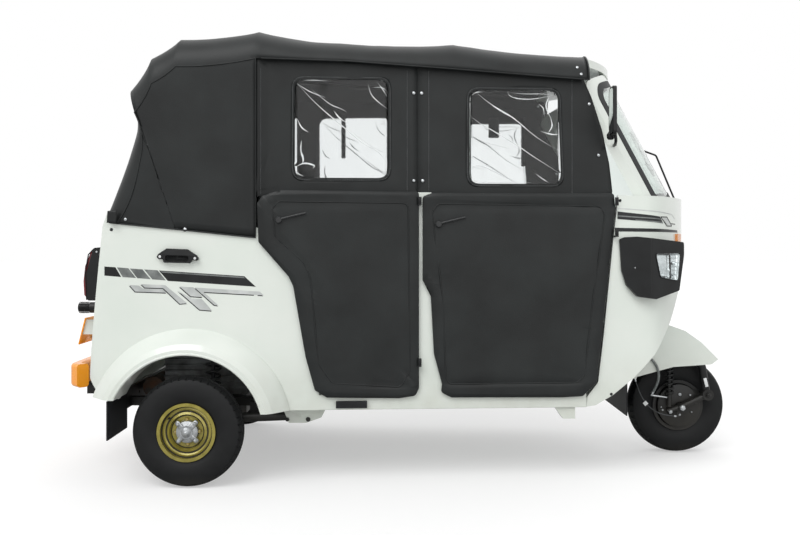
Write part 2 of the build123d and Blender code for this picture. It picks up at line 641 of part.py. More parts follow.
SPRING_LOW = 248.0 + SEAM
spring = coil_spring(64, ARM_Y + 8, SPRING_LOW, SPRING_TOP, 34, 6, 9)
keep("rear_springs", both_sides(spring))
SILENCER = (-250.0, 302.0)
silencer = Pos(SILENCER[0], 0, SILENCER[1]) * Rot(90, 0, 0) * Cylinder(44, 300)
outlet = rod((SILENCER[0], 140, SILENCER[1]), (SILENCER[0], 270, SILENCER[1]), 14)
pipe = rod((ENGINE[0] - SEAM, -60, SILENCER[1]), (SILENCER[0], -60, SILENCER[1]), 14)
strap = block(-305 + SEAM, -275, -110, -80, 292, 312) + block(-305 + SEAM, -275, 80, 110, 292, 312)
keep("silencer", silencer + outlet + pipe + strap)

# ---- wheels ---------------------------------------------------------------------------
BEAD_R = 101.0
BEAD_HALF = 38.0
TREAD_HALF = 44.0
SIDEWALL_R = 152.0
SHOULDER_R = 196.0


def wheel_turned(face, x, y):
    return Pos(x, y, TYRE_R) * revolve(face, axis=Axis.Y)


def tyre_face():
    bead = Line((BEAD_R, -BEAD_HALF), (BEAD_R, BEAD_HALF))
    wall_a = ThreePointArc(bead @ 1, (SIDEWALL_R, TYRE_W / 2), (SHOULDER_R, TREAD_HALF))
    crown = ThreePointArc(wall_a @ 1, (TYRE_R, 0), (SHOULDER_R, -TREAD_HALF))
    wall_b = ThreePointArc(crown @ 1, (SIDEWALL_R, -TYRE_W / 2), bead @ 0)
    return make_face([bead, wall_a, crown, wall_b])


# rim profile: radius, distance outboard of the wheel's middle plane
RIM = [
    (BEAD_R - 0.2, -44), (109, -44.5), (109, -49), (95, -49), (95, 20), (84, 26), (76, 22), (64, 28), (60, 14),
    (22, 14), (22, 20), (63, 20), (66, 34), (78, 28), (86, 33), (97, 30), (97, 49), (109, 49), (109, 44.5),
    (BEAD_R - 0.2, 44)]
HUB = [
    (HUB_BORE_R, -63), (46, -63), (46, -44), (88, -44), (88, 4), (70, 13.7), (20, 13.7), (20, 20.5), (44, 22), (40, 34),
    (24, 40), (24, 46), (0, 46), (0, -22), (HUB_BORE_R, -22)]
tyre = tyre_face()
rim = outline(RIM)
hub = outline(HUB)
for side, sign in (("right", -1), ("left", 1)):
    for name, face in (("rear_tyre", tyre), ("rear_rim", rim), ("rear_hub", hub)):
        turned = wheel_turned(face, 0, 0)
        if sign < 0:
            turned = mirror(turned, Plane.XZ)
        keep(name + "_" + side, Pos(0, sign * WHEEL_Y, 0) * turned)
keep("front_tyre", wheel_turned(tyre, WHEELBASE, 0))
keep("front_rim", wheel_turned(rim, WHEELBASE, 0))
keep("front_hub", wheel_turned(hub, WHEELBASE, 0))

# ---- front fork, link, fender and handlebar ---------------------------------------------
LINK_X = 2112.0
LINK_Z = 262.0
LEG_Y = -88.0


def fork():
    column = rod(axis_point(470), axis_point(HANDLE_Z), COLUMN_R)
    leg = tube([axis_point(480), (1958, -20, 455), (2040, LEG_Y + 6, 448), (2092, LEG_Y, 380),
                (LINK_X, LEG_Y, LINK_Z)], 17, 18)
    eye = rod((LINK_X, LEG_Y - 22, LINK_Z), (LINK_X, LEG_Y + 16, LINK_Z), 24)
    crown = block(SHOCK_X - 14, SHOCK_X + 14, SHOCK_Y - 12, 0, 452, 466)
    reflector = block(LINK_X - 20, LINK_X, LEG_Y - 22, LEG_Y - 12, 300, 330)
    return column + leg + eye + crown + reflector


SHOCK_X = 1950.0
SHOCK_Y = LEG_Y - 4
keep("steering_fork", fork())

HOSE_R = 5.5
HOSE = [(1825, -126, 431), (1846, -127, 430), (1870, -127, 413), (1891, -126, 380), (1898, -122, 342), (1891, -112, 303),
        (1876, -100, 270)]
CABLE_R = 2.25
CABLE = [(1795, -122, 333), (1806, -122, 296), (1824, -122, 254), (1850, -121, 218), (1885, -119, 191), (1928, -116, 176),
         (1970, -112, 172)]
keep("brake_hose", cord(HOSE, HOSE_R))
keep("speed_cable", cord(CABLE, CABLE_R))


def end_fitting(points, radius):
    """Short ferrule just past the end of a hose or cable."""
    last = Vector(*points[-1])
    along = (last - Vector(*points[-2])).normalized()
    return rod(last + along * SEAM, last + along * 13, radius)


def link():
    arm = tube([(LINK_X - 16, LEG_Y - 4, LINK_Z - 10), (WHEELBASE, LEG_Y - 4, TYRE_R), (1942, LEG_Y - 4, 188)], 13, 20)
    axle = rod((WHEELBASE, LEG_Y - 24, TYRE_R), (WHEELBASE, -24, TYRE_R), AXLE_R)
    cable_end = end_fitting(CABLE, 4) + rod((1980, -111, 171), (1985, LEG_Y - 6, 198), 4)
    return arm + axle + cable_end


keep("front_link", link() - rod((LINK_X, LEG_Y - 22 - SEAM, LINK_Z), (LINK_X, LEG_Y + 16 + SEAM, LINK_Z), 24 + SEAM))


def shock():
    """Front spring and damper, from the link's end to the fork's crown."""
    body = Pos(0, 0, 209) * Cylinder(11, 55, align=(Align.CENTER, Align.CENTER, Align.MIN))
    stem = Pos(0, 0, 398) * Cylinder(9, 452 - SEAM - 398, align=(Align.CENTER, Align.CENTER, Align.MIN))
    union = end_fitting(HOSE, 6.5) + rod((1871, -96, 259), (SHOCK_X, SHOCK_Y, 248), 4)
    return Pos(SHOCK_X, SHOCK_Y, 0) * (coil_spring(0, 0, 262, 400, 19, 4, 8) + body + stem) + union


keep("front_shock", shock())
FENDER_SIDE = [
    (1787, 336), (1784, 362), (1885, 556), (1900, 564), (1935, 564), (2011, 537), (2080, 488), (2152, 416), (2124, 394),
    (1960, 383)]
FENDER_IN = [
    (1780, 300), (1790, 362), (1889, 553), (1902, 560), (1934, 560), (2009, 533), (2077, 485), (2146, 416), (2400, 300)]


def fender():
    outer = side_slab(FENDER_SIDE, -FENDER_HALF, FENDER_HALF)
    inner = side_slab(FENDER_IN, -FENDER_HALF + FENDER_SKIN, FENDER_HALF - FENDER_SKIN)
    clips = block(1803, HOSE[0][0] - 2 * SEAM, -133, 1 - FENDER_HALF, 416, 437)
    clips = clips + block(1789, 1801, -127, 1 - FENDER_HALF, CABLE[0][2] + 4 * SEAM, 350)
    return outer - inner - rod(axis_point(500), axis_point(640), COLUMN_R + SEAM) + clips


keep("front_fender", fender())
BAR_Z = HANDLE_Z + 8


def handlebar():
    top = axis_point(HANDLE_Z)
    bar = tube([(top[0] - 62, -345, BAR_Z + 20), (top[0] - 20, -180, BAR_Z + 20), (top[0], 0, BAR_Z + 14),
                (top[0] - 20, 180, BAR_Z + 20), (top[0] - 62, 345, BAR_Z + 20)], 12, 60)
    clamp = rod(axis_point(HANDLE_Z), axis_point(HANDLE_Z + 34), 30)
    return bar + clamp


keep("handlebar", handlebar())

# ---- lamps, bumper and small pieces ------------------------------------------------------
BODY_CORE = cowl_solid(SEAM * -1)


POD_SIDE = [
    (1636, 926), (1655, 934), (1700, 936), (1898, 915), (1904, 890), (1878, 727), (1772, 697), (1702, 706), (1661, 750),
    (1643, 806)]
POD_FOLD = (1752.0, -534.0)     # upright edge between the pod's side and its slanted front
POD_FRONT = (1901.0, -452.0)
POD_PLAN = [(1600, -470), (1640, -506), POD_FOLD, POD_FRONT, (1910, -372), (1895, -330), (1700, -330)]
LENS_START = 18.9               # the lens starts this far along the slanted front
LENS_LENGTH = 128.1


def pod():
    body = side_slab(POD_SIDE, -560, -330, radius=8) & plan_slab(POD_PLAN, 600, 1000, radius=12)
    return body - BODY_CORE


def lamp_lens(proud, back, grow):
    """Rounded lens standing in the slanted face of the pod."""
    along = (Vector(*POD_FRONT) - Vector(*POD_FOLD)).normalized()
    face = Plane(origin=POD_FOLD, x_dir=along, z_dir=(along.Y, -along.X, 0)) * Pos(LENS_START, 0, -back)
    shape = outline([(-grow, 871 + grow), (LENS_LENGTH + grow, 872 + grow), (LENS_LENGTH - 12 + grow, 765 - grow),
                     (25 - grow, 781 - grow)], 10)
    return face * extrude(shape, amount=back + proud)


keep("headlamp_pods", both_sides(pod() - lamp_lens(30, 14 + SEAM, SEAM)))
keep("headlamp_lenses", both_sides(lamp_lens(1, 14, 0) - BODY_CORE))
INDICATOR_PROUD = 9.0
indicator = cowl_solid(-INDICATOR_PROUD) & block(1880, NOSE_X, 300, 352, 918, 948)
keep("indicators", both_sides(indicator - BODY_CORE))


def bumper():
    points = [(-452, -425, 391), (-490, -385, 391), (BUMPER_X + 24, 0, 391), (-490, 385, 391), (-452, 425, 391)]
    path = FilletPolyline(*points, radius=[40, 900, 40])
    plane = Plane(origin=path @ 0, x_dir=(0, 0, 1), z_dir=path % 0)
    return sweep(plane * RectangleRounded(92, 48, 14), path=path)


keep("rear_bumper", bumper())


def tail_housing():
    pts = [(-364, 893), (-310, 898), (-330, 694), (-388, 694), (-392, 800)]
    return side_slab(pts, 470, 560, radius=8)


TUB_CORE = tub_core(-SEAM)
keep("tail_lamps", both_sides(tail_housing() - TUB_CORE))
lens = side_slab([(-364.5, 885), (-378, 874), (-398, 824), (-404, 767), (-401, 715), (-389, 702)], 476, 554)
keep("tail_lenses", both_sides(lens - tail_housing() - TUB_CORE))
PLATE_Y = (-300.0, -130.0)
plate = side_slab([(-488, 607), (-484, 607), (-511, 500), (-515, 500)], *PLATE_Y)
wing_side = [(-487, 600), (-340, 600), (-340, 540), (-502, 540)]
wing = side_slab(wing_side, PLATE_Y[0] + 8, PLATE_Y[0] + 12) + side_slab(wing_side, PLATE_Y[1] - 12, PLATE_Y[1] - 8)
keep("number_plate", plate + (wing - TUB_CORE))
lamp = rod((-500, -330, 652), (-452, -330, 652), 17) + rod((-453, -330, 652), (-340, -330, 652), 22)
keep("plate_lamp", lamp - TUB_CORE)
vent = fillet(block(-112, 40, BODY_HALF + SEAM, BODY_HALF + 12, 838, 890).edges().filter_by(Axis.Y), 12)
keep("side_vents", both_sides(vent))


MIRROR_Z = 1290.0


def mirror_piece():
    glass = fillet(block(1590, 1602, -602, -530, 1319, 1501).edges().filter_by(Axis.X), 14)
    pillar = GLASS_HALF + 14 + PILLAR_W
    stem = tube([(1600, -560, 1380), (1612, -545, 1300), (1620, -500, MIRROR_Z), (1624, -pillar - 0.5, MIRROR_Z)], 6, 15)
    return glass + stem


keep("mirrors", both_sides(mirror_piece()))
spindle = rod((1982.8, -60, 1069.2), (1995.5, -60, 1078.9), 7)
wiper_arm = tube([(1993, -60, 1077), (1972, -60, 1125), (1902, -60, 1292), (1846, -60, 1312)], 4, 18)
blade = rod((1799, -60, 1396), (1901, -60, 1206), 5)
keep("wiper", spindle + wiper_arm + blade)
rear_flap = block(-290, -285, 400, 640, 182, 326.8)
front_flap = block(1738, 1743, -200, 200, 190, 437)
keep("mud_flaps", both_sides(rear_flap) + front_flap)
step = side_panel([(551, 290), (668, 290), (668, 315), (551, 315)], SEAM, 20)
keep("step_pads", both_sides(step))
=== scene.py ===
from math import atan, ceil, cos, hypot, pi, radians, sin, tan

import bmesh
import bpy
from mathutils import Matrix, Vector, noise
from mathutils.geometry import tessellate_polygon


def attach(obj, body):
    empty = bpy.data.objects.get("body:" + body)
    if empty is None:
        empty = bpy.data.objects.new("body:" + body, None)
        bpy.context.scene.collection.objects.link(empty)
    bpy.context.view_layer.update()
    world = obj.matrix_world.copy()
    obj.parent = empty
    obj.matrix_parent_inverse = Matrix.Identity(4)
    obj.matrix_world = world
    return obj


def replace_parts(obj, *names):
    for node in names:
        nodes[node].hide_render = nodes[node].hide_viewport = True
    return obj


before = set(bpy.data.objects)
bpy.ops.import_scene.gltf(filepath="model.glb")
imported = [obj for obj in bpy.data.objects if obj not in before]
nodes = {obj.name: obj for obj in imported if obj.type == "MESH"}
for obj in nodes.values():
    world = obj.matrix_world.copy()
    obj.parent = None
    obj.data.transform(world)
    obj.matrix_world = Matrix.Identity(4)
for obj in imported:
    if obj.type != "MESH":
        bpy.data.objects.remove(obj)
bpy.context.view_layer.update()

# ---- studio -------------------------------------------------------------------------------
# A level camera far to the vehicle's right, a pale floor and broad soft light. The sky
# shows white to the camera and in gloss, and lights the object at a plain level.
SKY_LIGHT, FLOOR_GLOW, FLOOR_HALF = 0.64, 0.42, 40
WHITE, FLOOR_SEEN = (1, 1, 1, 1), (0.6, 0.6, 0.6, 1)
PATCH_LOW, PATCH_HIGH, GRAIN_STRENGTH = 0.35, 0.68, 0.6     # noise levels that the patches lie between
BLOTCH_SCALE = 14.0


def linked(name, data):
    """New object in the scene, at the origin."""
    made = bpy.data.objects.new(name, data)
    bpy.context.collection.objects.link(made)
    return made


def linear(colour):
    """An sRGB hex colour as the linear colour that a shader socket takes."""
    parts = [int(colour[i:i + 2], 16) / 255 for i in (1, 3, 5)]
    return [c / 12.92 if c <= 0.04045 else ((c + 0.055) / 1.055) ** 2.4 for c in parts] + [1]


def add(owner, kind, feeds=(), **settings):
    """Adds a node, a shader node by its short name; feeds gives inputs a value or a (node, output)."""
    node = owner.node_tree.nodes.new(kind if "Node" in kind else "ShaderNode" + kind)
    for key, value in settings.items():
        setattr(node, key, value)
    for socket, source in dict(feeds).items():
        if isinstance(source, tuple) and isinstance(source[0], bpy.types.Node):
            owner.node_tree.links.new(source[0].outputs[source[1]], node.inputs[socket])
        else:
            node.inputs[socket].default_value = source
    return node


def drive(owner, socket, source, output=0, shader="Principled BSDF"):
    """Links a node's output to an input of the shader."""
    owner.node_tree.links.new(source.outputs[output], owner.node_tree.nodes[shader].inputs[socket])


def vary(made, other, patch, grain=0, height=0, rough=0, cells=False):
    """Soft patches of another colour, patch mm wide, and a grain of that many mm as bump."""
    shader = made.node_tree.nodes["Principled BSDF"]
    place = add(made, "TexCoord")
    patches = add(made, "TexNoise", {"Vector": (place, "Object"), "Scale": 1000 / patch, "Detail": 5.0})
    spread = add(made, "MapRange", {"Value": (patches, 0), "From Min": PATCH_LOW,
                                     "From Max": PATCH_HIGH})
    mixed = add(made, "Mix", {0: (spread, 0), 6: shader.inputs["Base Color"].default_value[:],
                                        7: linear(other)}, data_type="RGBA")
    drive(made, "Base Color", mixed, 2)
    if rough:
        base = shader.inputs["Roughness"].default_value
        drive(made, "Roughness", add(made, "MapRange", {
            "Value": (patches, 0), "To Min": base - rough, "To Max": base + rough}))
    if grain:
        kind = "TexVoronoi" if cells else "TexNoise"
        texture = add(made, kind, {"Vector": (place, "Object"), "Scale": 1000 / grain})
        drive(made, "Normal", add(made, "Bump", {
            "Height": (texture, 0), "Distance": height / 1000, "Strength": GRAIN_STRENGTH}))
    return mixed


def dust(made, mixed, tone, low, high, most):
    """Road dust: the colour goes to tone between two heights in metres, in blotches."""
    place = add(made, "TexCoord")
    height = add(made, "SeparateXYZ", {0: (place, "Object")})
    blotch = add(made, "TexNoise", {"Vector": (place, "Object"), "Scale": BLOTCH_SCALE, "Detail": 8.0})
    fade = add(made, "MapRange", {"Value": (height, 2), "From Min": high, "From Max": low, "To Max": most})
    share = add(made, "Math", {0: (fade, 0), 1: (blotch, 0)}, operation="MULTIPLY")
    drive(made, "Base Color", add(made, "Mix", {0: (share, 0), 6: (mixed, 2), 7: linear(tone)},
                                  data_type="RGBA"), 2)


def finish(name, colour, roughness, varied=None, dusty=None, **sockets):
    """A material named for its surface; sockets are Principled inputs with _ for a space."""
    made = bpy.data.materials.new(name)
    made.use_nodes = True
    made.diffuse_color = linear(colour)
    for socket, value in {"Base_Color": linear(colour), "Roughness": roughness, **sockets}.items():
        made.node_tree.nodes["Principled BSDF"].inputs[socket.replace("_", " ")].default_value = value
    mixed = vary(made, *varied) if varied else None
    if dusty:
        dust(made, mixed, *dusty)
    return made


scene = bpy.context.scene
camera = scene.camera = linked("camera", bpy.data.cameras.new("camera"))
camera.location = (-0.051, -3.939, 0.906)
camera.rotation_euler = (radians(90), 0, 0)
camera.data.sensor_width, camera.data.lens, camera.data.shift_y = 36, 40.28, -0.0288
scene.view_settings.view_transform = "Standard"

world = scene.world = bpy.data.worlds.new("sky")
world.use_nodes = True
rays = add(world, "LightPath")
seen = add(world, "Math", {0: (rays, "Is Camera Ray"), 1: (rays, "Is Glossy Ray")}, operation="MAXIMUM")
seen = add(world, "Math", {0: (seen, 0), 1: (rays, "Is Transmission Ray")}, operation="MAXIMUM")
world.node_tree.nodes["Background"].inputs["Color"].default_value = WHITE
drive(world, "Strength", add(world, "MapRange", {
    "Value": (seen, 0), "To Min": SKY_LIGHT, "To Max": 1.0}), shader="Background")

# turn about X, turn about Z, strength and width in degrees of each lamp
for tilt, turn, strength, width in ((42, -28, 1.4, 40), (30, 150, 0.55, 60), (72, 20, 0.42, 50)):
    lamp = linked("lamp", bpy.data.lights.new("lamp", "SUN"))
    lamp.rotation_euler = (radians(tilt), 0, radians(turn))
    lamp.data.energy, lamp.data.angle = strength, radians(width)

floor_paint = finish("studio_floor", "#C8C8C8", 0.9, Specular_IOR_Level=0, Emission_Color=WHITE)
rays = add(floor_paint, "LightPath")
drive(floor_paint, "Emission Strength", add(floor_paint, "MapRange", {
    "Value": (rays, "Is Camera Ray"), "To Max": FLOOR_GLOW}))
drive(floor_paint, "Base Color", add(floor_paint, "Mix", {
    0: (rays, "Is Camera Ray"), 6: linear("#C8C8C8"), 7: FLOOR_SEEN}, data_type="RGBA"), 2)
floor_mesh = bpy.data.meshes.new("floor")
floor_mesh.from_pydata([(x * FLOOR_HALF, y * FLOOR_HALF, 0) for x, y in ((-1, -1), (1, -1), (1, 1), (-1, 1))],
                       [], [(0, 1, 2, 3)])
floor_mesh.materials.append(floor_paint)
linked("floor", floor_mesh)

# ---- tub and cowl ---------------------------------------------------------------------------
# Pressed steel sheet, welded and sprayed with greenish white enamel. The coat is glossy with a
# faint orange peel, a little road dust clings low down, and the wheel arches have a rolled lip.
MID_X = 844                     # the rear axle's distance behind the frame's origin, mm
BODY_HALF = 574
TAPER_X, TAPER = 250, atan(80 / 1370)
TYRE_R = 208                    # also the height of the axles
ARCH_R, ARCH_HALF = 294, 649
FILM, ROD = 0.0003, 0.0045      # a film's thickness and a rod's radius, m
SAME_PLACE = 1e-6
SIDES = ((-1, "right"), (1, "left"))
AHEAD, ACROSS, UP = (Vector(way) for way in ((1, 0, 0), (0, 1, 0), (0, 0, 1)))


def metres(x, y, z):
    """A place in the frame, from millimetres with x counted from the rear axle."""
    return Vector(((x - MID_X) / 1000, y / 1000, z / 1000))


def half_at(x):
    """Half the body's width, which tapers towards the front."""
    return BODY_HALF - max(x - TAPER_X, 0) * tan(TAPER)


def on_side(x, z, out, side):
    """A place on the body side, out millimetres proud of it; side is -1 on the right."""
    return metres(x + out * sin(TAPER) * (x > TAPER_X), side * (half_at(x) + out * cos(TAPER)), z)


def dress(material, *names):
    """Gives CAD nodes their finish."""
    for name in names:
        nodes[name].data.materials.clear()
        nodes[name].data.materials.append(material)


def object_of(mesh, name, material, body="chassis", smooth=True, sharp=None):
    """Finished mesh as a piece that rides on a body; edges over sharp degrees stay hard."""
    made = linked(name, mesh)
    for one in material if isinstance(material, list) else [material]:
        mesh.materials.append(one)
    if smooth:
        mesh.shade_smooth()
    if sharp:
        mesh.set_sharp_from_angle(angle=radians(sharp))
    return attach(made, body)


def taken(shape):
    """The mesh of a bmesh, which is freed."""
    mesh = bpy.data.meshes.new("mesh")
    shape.to_mesh(mesh)
    shape.free()
    return mesh


def mesh_of(points, faces, closed=True):
    """Mesh from points and faces, doubles merged; a closed one has its faces turned outwards."""
    shape = bmesh.new()
    corners = [shape.verts.new(p) for p in points]
    for face in faces:
        if len(set(face)) > 2:
            shape.faces.new([corners[i] for i in face])
    bmesh.ops.remove_doubles(shape, verts=shape.verts, dist=SAME_PLACE)
    if closed:
        bmesh.ops.recalc_face_normals(shape, faces=shape.faces)
    return taken(shape)


def evaluated(made):
    """An object's mesh as its curve or its modifiers make it."""
    bpy.context.view_layer.update()
    return bpy.data.meshes.new_from_object(made.evaluated_get(bpy.context.evaluated_depsgraph_get()))


def baked(made, sharp=None):
    """Applies a piece's modifiers to its mesh."""
    mesh = evaluated(made)
    made.modifiers.clear()
    made.data = mesh
    if sharp:
        mesh.set_sharp_from_angle(angle=radians(sharp))
    return made


def built(made, thick=0, offset=0, edge=0, segments=2, sharp=None):
    """Gives a piece a sheet's thickness and soft edges, both in metres, and bakes them."""
    if thick:
        sheet = made.modifiers.new("thickness", "SOLIDIFY")
        sheet.thickness, sheet.offset = thick, offset
    if edge:
        soft = made.modifiers.new("edge", "BEVEL")
        soft.width, soft.segments, soft.limit_method = edge, segments, "ANGLE"
    return baked(made, sharp)


def curve_through(name, points, order=0, cyclic=False):
    """Curve through points in metres, or a smooth NURBS line where an order is given."""
    curve = bpy.data.curves.new(name, "CURVE")
    curve.dimensions = "3D"
    spline = curve.splines.new("NURBS" if order else "POLY")
    spline.points.add(len(points) - 1)
    for point, place in zip(spline.points, points):
        point.co = (*place, 1)
    spline.use_cyclic_u = cyclic
    if order:
        spline.order_u = order
        spline.use_endpoint_u = not cyclic
    return linked(name, curve)


def thicken_line(curve, radius, sides):
    """Gives a curve a round section with closed ends."""
    curve.bevel_depth, curve.bevel_resolution, curve.use_fill_caps = radius, sides, True


def wire(name, points, radius, material, body="chassis", cyclic=False, order=0, sides=3):
    """Round wire or rod through points in metres."""
    shown = curve_through(name, points, order, cyclic)
    thicken_line(shown.data, radius, sides)
    mesh = evaluated(shown)
    bpy.data.objects.remove(shown)
    return object_of(mesh, name, material, body)


def sliced(outline, holes=(), step=400):
    """Flat bmesh of an outline with holes, cut into cells of about step mm, so that it can bend."""
    loops = [[Vector((p[0], p[1], 0)) for p in loop] for loop in (outline, *holes)]
    shape = bmesh.new()
    corners = [shape.verts.new(p) for loop in loops for p in loop]
    for face in tessellate_polygon(loops):
        if len(set(face)) == 3:
            shape.faces.new([corners[i] for i in face])
    for axis in range(2):
        low, high = min(p[axis] for p in loops[0]), max(p[axis] for p in loops[0])
        count = ceil((high - low) / step)
        for k in range(1, count):
            place, normal = Vector((0, 0, 0)), Vector((0, 0, 0))
            place[axis], normal[axis] = low + (high - low) * k / count, 1
            bmesh.ops.bisect_plane(shape, geom=shape.verts[:] + shape.edges[:] + shape.faces[:],
                                   dist=1e-4, plane_co=place, plane_no=normal)
    bmesh.ops.recalc_face_normals(shape, faces=shape.faces)
    return shape


def decal(name, outlines, out, material, bend=on_side, step=60):
    """Thin film of one or more (x, z) outlines on both body sides."""
    points, faces = [], []
    for side, _ in SIDES:
        for outline in outlines:
            shape = sliced(outline, step=step)
            shape.verts.index_update()
            base = len(points)
            points += [bend(v.co.x, v.co.y, out, side) for v in shape.verts]
            faces += [[base + v.index for v in f.verts] for f in shape.faces]
            shape.free()
    built(object_of(mesh_of(points, faces, closed=False), name, material, smooth=False), FILM)


enamel = finish("sprayed_enamel", "#E3E8E1", 0.3, ("#DDE4DC", 260, 5, 0.02, 0.03),
                ("#A9A797", 0.26, 0.5, 0.5), Coat_Weight=0.6, Coat_Roughness=0.08)
dress(enamel, "rear_body", "front_cowl", "windscreen_frame", "b_pillars", "front_fender")

# Rolled lip round each wheel arch: the sheet's edge turned outwards, where the paint catches light.
for side, word in SIDES:
    wire(f"arch_lip_{word}", [metres(-ARCH_R * cos(a), side * ARCH_HALF, TYRE_R + ARCH_R * sin(a))
                              for a in map(radians, range(27, 161, 3))], ROD, enamel)

# Black stripe of cast vinyl film along the tail, its rear end broken into slanted blocks.
# The blocks pale towards the front, and a silver edging film runs under the bar.
film_black = finish("cast_vinyl_film", "#101112", 0.32, ("#222526", 90, 3, 0.01), Specular_IOR_Level=0.35)
film_silver = finish("silver_foil_film", "#B4B8B6", 0.32, ("#D3D6D4", 70, 3, 0.01), Metallic=0.35)
# grey film for the tail's blocks and edge; the same grey also paints the highlight along the cowl's band
grey_film_and_highlight = finish("graphite_film_and_painted_highlight", "#5C605F", 0.34, ("#8A8E8C", 45, 3, 0.01), Metallic=0.2)
STRIPE_STEP = 3.76              # mm for one step of the side drawing, from its place (400, 244.5)
SILVER = [
    [(129.5, 285.1), (139, 285.6), (142.9, 288.5), (162.7, 289.2), (166.8, 292.8), (135.4, 291.6)],
    [(141, 284.1), (165.2, 285.2), (187.2, 303.2), (180, 303.9), (163.3, 288.2), (144.8, 287.6)],
    [(179.6, 286.5), (193.4, 287.4), (202.8, 297.2), (190.8, 296.3)],
    [(177.8, 290.6), (181.8, 293), (192, 298.6), (202.2, 299.2), (212.2, 310.8), (199.8, 309.7)],
    [(194.8, 287.6), (259.8, 291.6), (263.6, 295.4), (203.6, 292), (218.6, 305.6), (214.4, 305)]]
for name, out, material, outlines in (
        ("bar", 0.4, film_black, [
            [(104.5, 266.5), (115.5, 267.3), (121.3, 277), (104.5, 275.6)],
            [(158.9, 270.5), (244.3, 276.2), (255.8, 286.7), (167.8, 280.9)]]),
        ("blocks", 0.4, grey_film_and_highlight, [
            [(117, 267.4), (128.3, 268.2), (136.1, 278), (122.7, 277.1)],
            [(129.8, 268.5), (142.5, 269.4), (150.8, 279.2), (137.4, 278.2)],
            [(144.2, 269.5), (157.6, 270.3), (166, 280.4), (152.4, 279.4)]]),
        ("bar_edge", 0.6, grey_film_and_highlight, [[(160.4, 271.2), (243.8, 276.8), (245, 278.2), (162, 272.6)]]),
        ("silver_edge", 0.4, film_black, [[(x - 0.5, y + 0.9) for x, y in outline] for outline in SILVER]),
        ("silver", 0.6, film_silver, SILVER)):
    decal("stripe_" + name, [[(793 + (x - 400) * STRIPE_STEP, 906 + (244.5 - y) * STRIPE_STEP)
                              for x, y in outline] for outline in outlines], out, material)

# ---- canopy ----------------------------------------------------------------------------------
# One sheet of black coated canvas, stretched over five steel bows and screwed along its hems.
# It sags a little between the bows, and every seam is bound with a round piping.
BOWS = [(-50, 1700), (250, 1730), (560, 1690), (1000, 1690), (1520, 1648)]
TAIL_BOWS = [(-50, 1700), (-160, 1625), (-238, 1500), (-213, 1440), (-212, 1346), (-333, 991)]
VALANCE = [(250, 1606), (600, 1600), (1520, 1538)]
PIVOT = (-50, 963.5)            # where the tail's rows fan out from
CANOPY_OUT = 6.1                # over the body side
CORNER_R, CORNER_SHRINK = 125, 60
CROWN, CROWN_SHRINK = 18, 14    # both shrink down the tail
HEM_X, HEM_Z, HEM_SLOPE = 257, 931, 0.106
LOW_ROWS, ARC_ROWS, TOP_ROWS = 20, 10, 36
ROWS_PER_METRE, SAG, STEEPEST_SAG = 45, 9, 0.05
WIDE_RIPPLE, FINE_RIPPLE, SUNK = (0.16, 0.0022), (0.05, 0.0009), 0.0006     # size and depth, m
CANVAS, PIPING = 0.0016, 0.0028                 # thickness and radius, m
PANE_X, PANE_Z, PANE_HALF = -1.03, (1.11, 1.31), 0.33     # the clear pane in the tail, m
FLAT_SIZE, ROOF_Z = (2.75, 2.9), 1.65
vinyl = finish("coated_canvas", "#191B1B", 0.44, ("#222525", 180, 4, 0.25, 0.05, True),
               Specular_IOR_Level=0.3)


def between(table, x):
    """Height at x on a line of (x, height) points."""
    for (x0, z0), (x1, z1) in zip(table, table[1:]):
        if x <= x1:
            return z0 + (z1 - z0) * (x - x0) / (x1 - x0)
    return table[-1][1]


def sagged(table, droop):
    """Points along the bows, with a shallow sag between each two."""
    made = []
    for (x0, z0), (x1, z1) in zip(table, table[1:]):
        length = hypot(x1 - x0, z1 - z0)
        steps = max(round(ROWS_PER_METRE * length / 1000), 3)
        for t in (k / steps for k in range(steps)):
            sag = min(SAG, length * STEEPEST_SAG) * 4 * t * (1 - t)
            made.append((x0 + (x1 - x0) * t + droop[0] * sag, z0 + (z1 - z0) * t + droop[1] * sag))
    return made + [table[-1]]


def canopy_rows(x, length, radius, start, crown):
    """Section of the canopy at one bow: distances from its foot, and half widths, right to left."""
    half = half_at(x) + CANOPY_OUT
    rise = length - radius
    low = [(start + (rise - start) * k / LOW_ROWS, -half) for k in range(LOW_ROWS)] if start < rise else []
    angle = 0 if start < rise else max(0, (start - rise) / radius)
    arc = [(rise + radius * sin(a), -half + radius * (1 - cos(a)))
           for a in (angle + (pi / 2 - angle) * k / ARC_ROWS for k in range(ARC_ROWS))]
    flat = half - radius
    top = [(length + crown * (1 - (y / flat) ** 2), y)
           for y in (-flat + 2 * flat * k / TOP_ROWS for k in range(TOP_ROWS + 1))]
    right = low + arc
    return right + top + [(t, -y) for t, y in reversed(right)]


def ripple(p, size, depth):
    """A smooth wrinkle of that many metres across, at a point."""
    return depth * noise.noise(Vector((p.x / size, p.y / size, p.z / size * 0.6)))


stations = []
for x, top in reversed(sagged(BOWS, (0, -1))):
    foot = HEM_Z + (HEM_X - x) * HEM_SLOPE
    start = between(VALANCE, x) - foot if x > TAPER_X + 1 else 0
    stations.append([(x, y, foot + t) for t, y in canopy_rows(x, top - foot, CORNER_R, start, CROWN)])
turned = len(stations) - 1
tail_line = sagged(TAIL_BOWS, (0.75, -0.35))
for k, (x, z) in enumerate(tail_line[1:], 1):
    share = k / (len(tail_line) - 1)
    ray = (x - PIVOT[0], z - PIVOT[1])
    length = hypot(*ray)
    rows = canopy_rows(PIVOT[0], length, CORNER_R - CORNER_SHRINK * share, 0, CROWN - CROWN_SHRINK * share)
    stations.append([(PIVOT[0] + ray[0] * t / length, y, PIVOT[1] + ray[1] * t / length) for t, y in rows])
count, widest = len(stations), len(stations[-1])
cloth = bmesh.new()
grid = []
for row in stations:
    line = [cloth.verts.new(metres(*p)) for p in row]
    spare = [None] * LOW_ROWS if len(row) < widest else []
    grid.append(spare + line + spare)
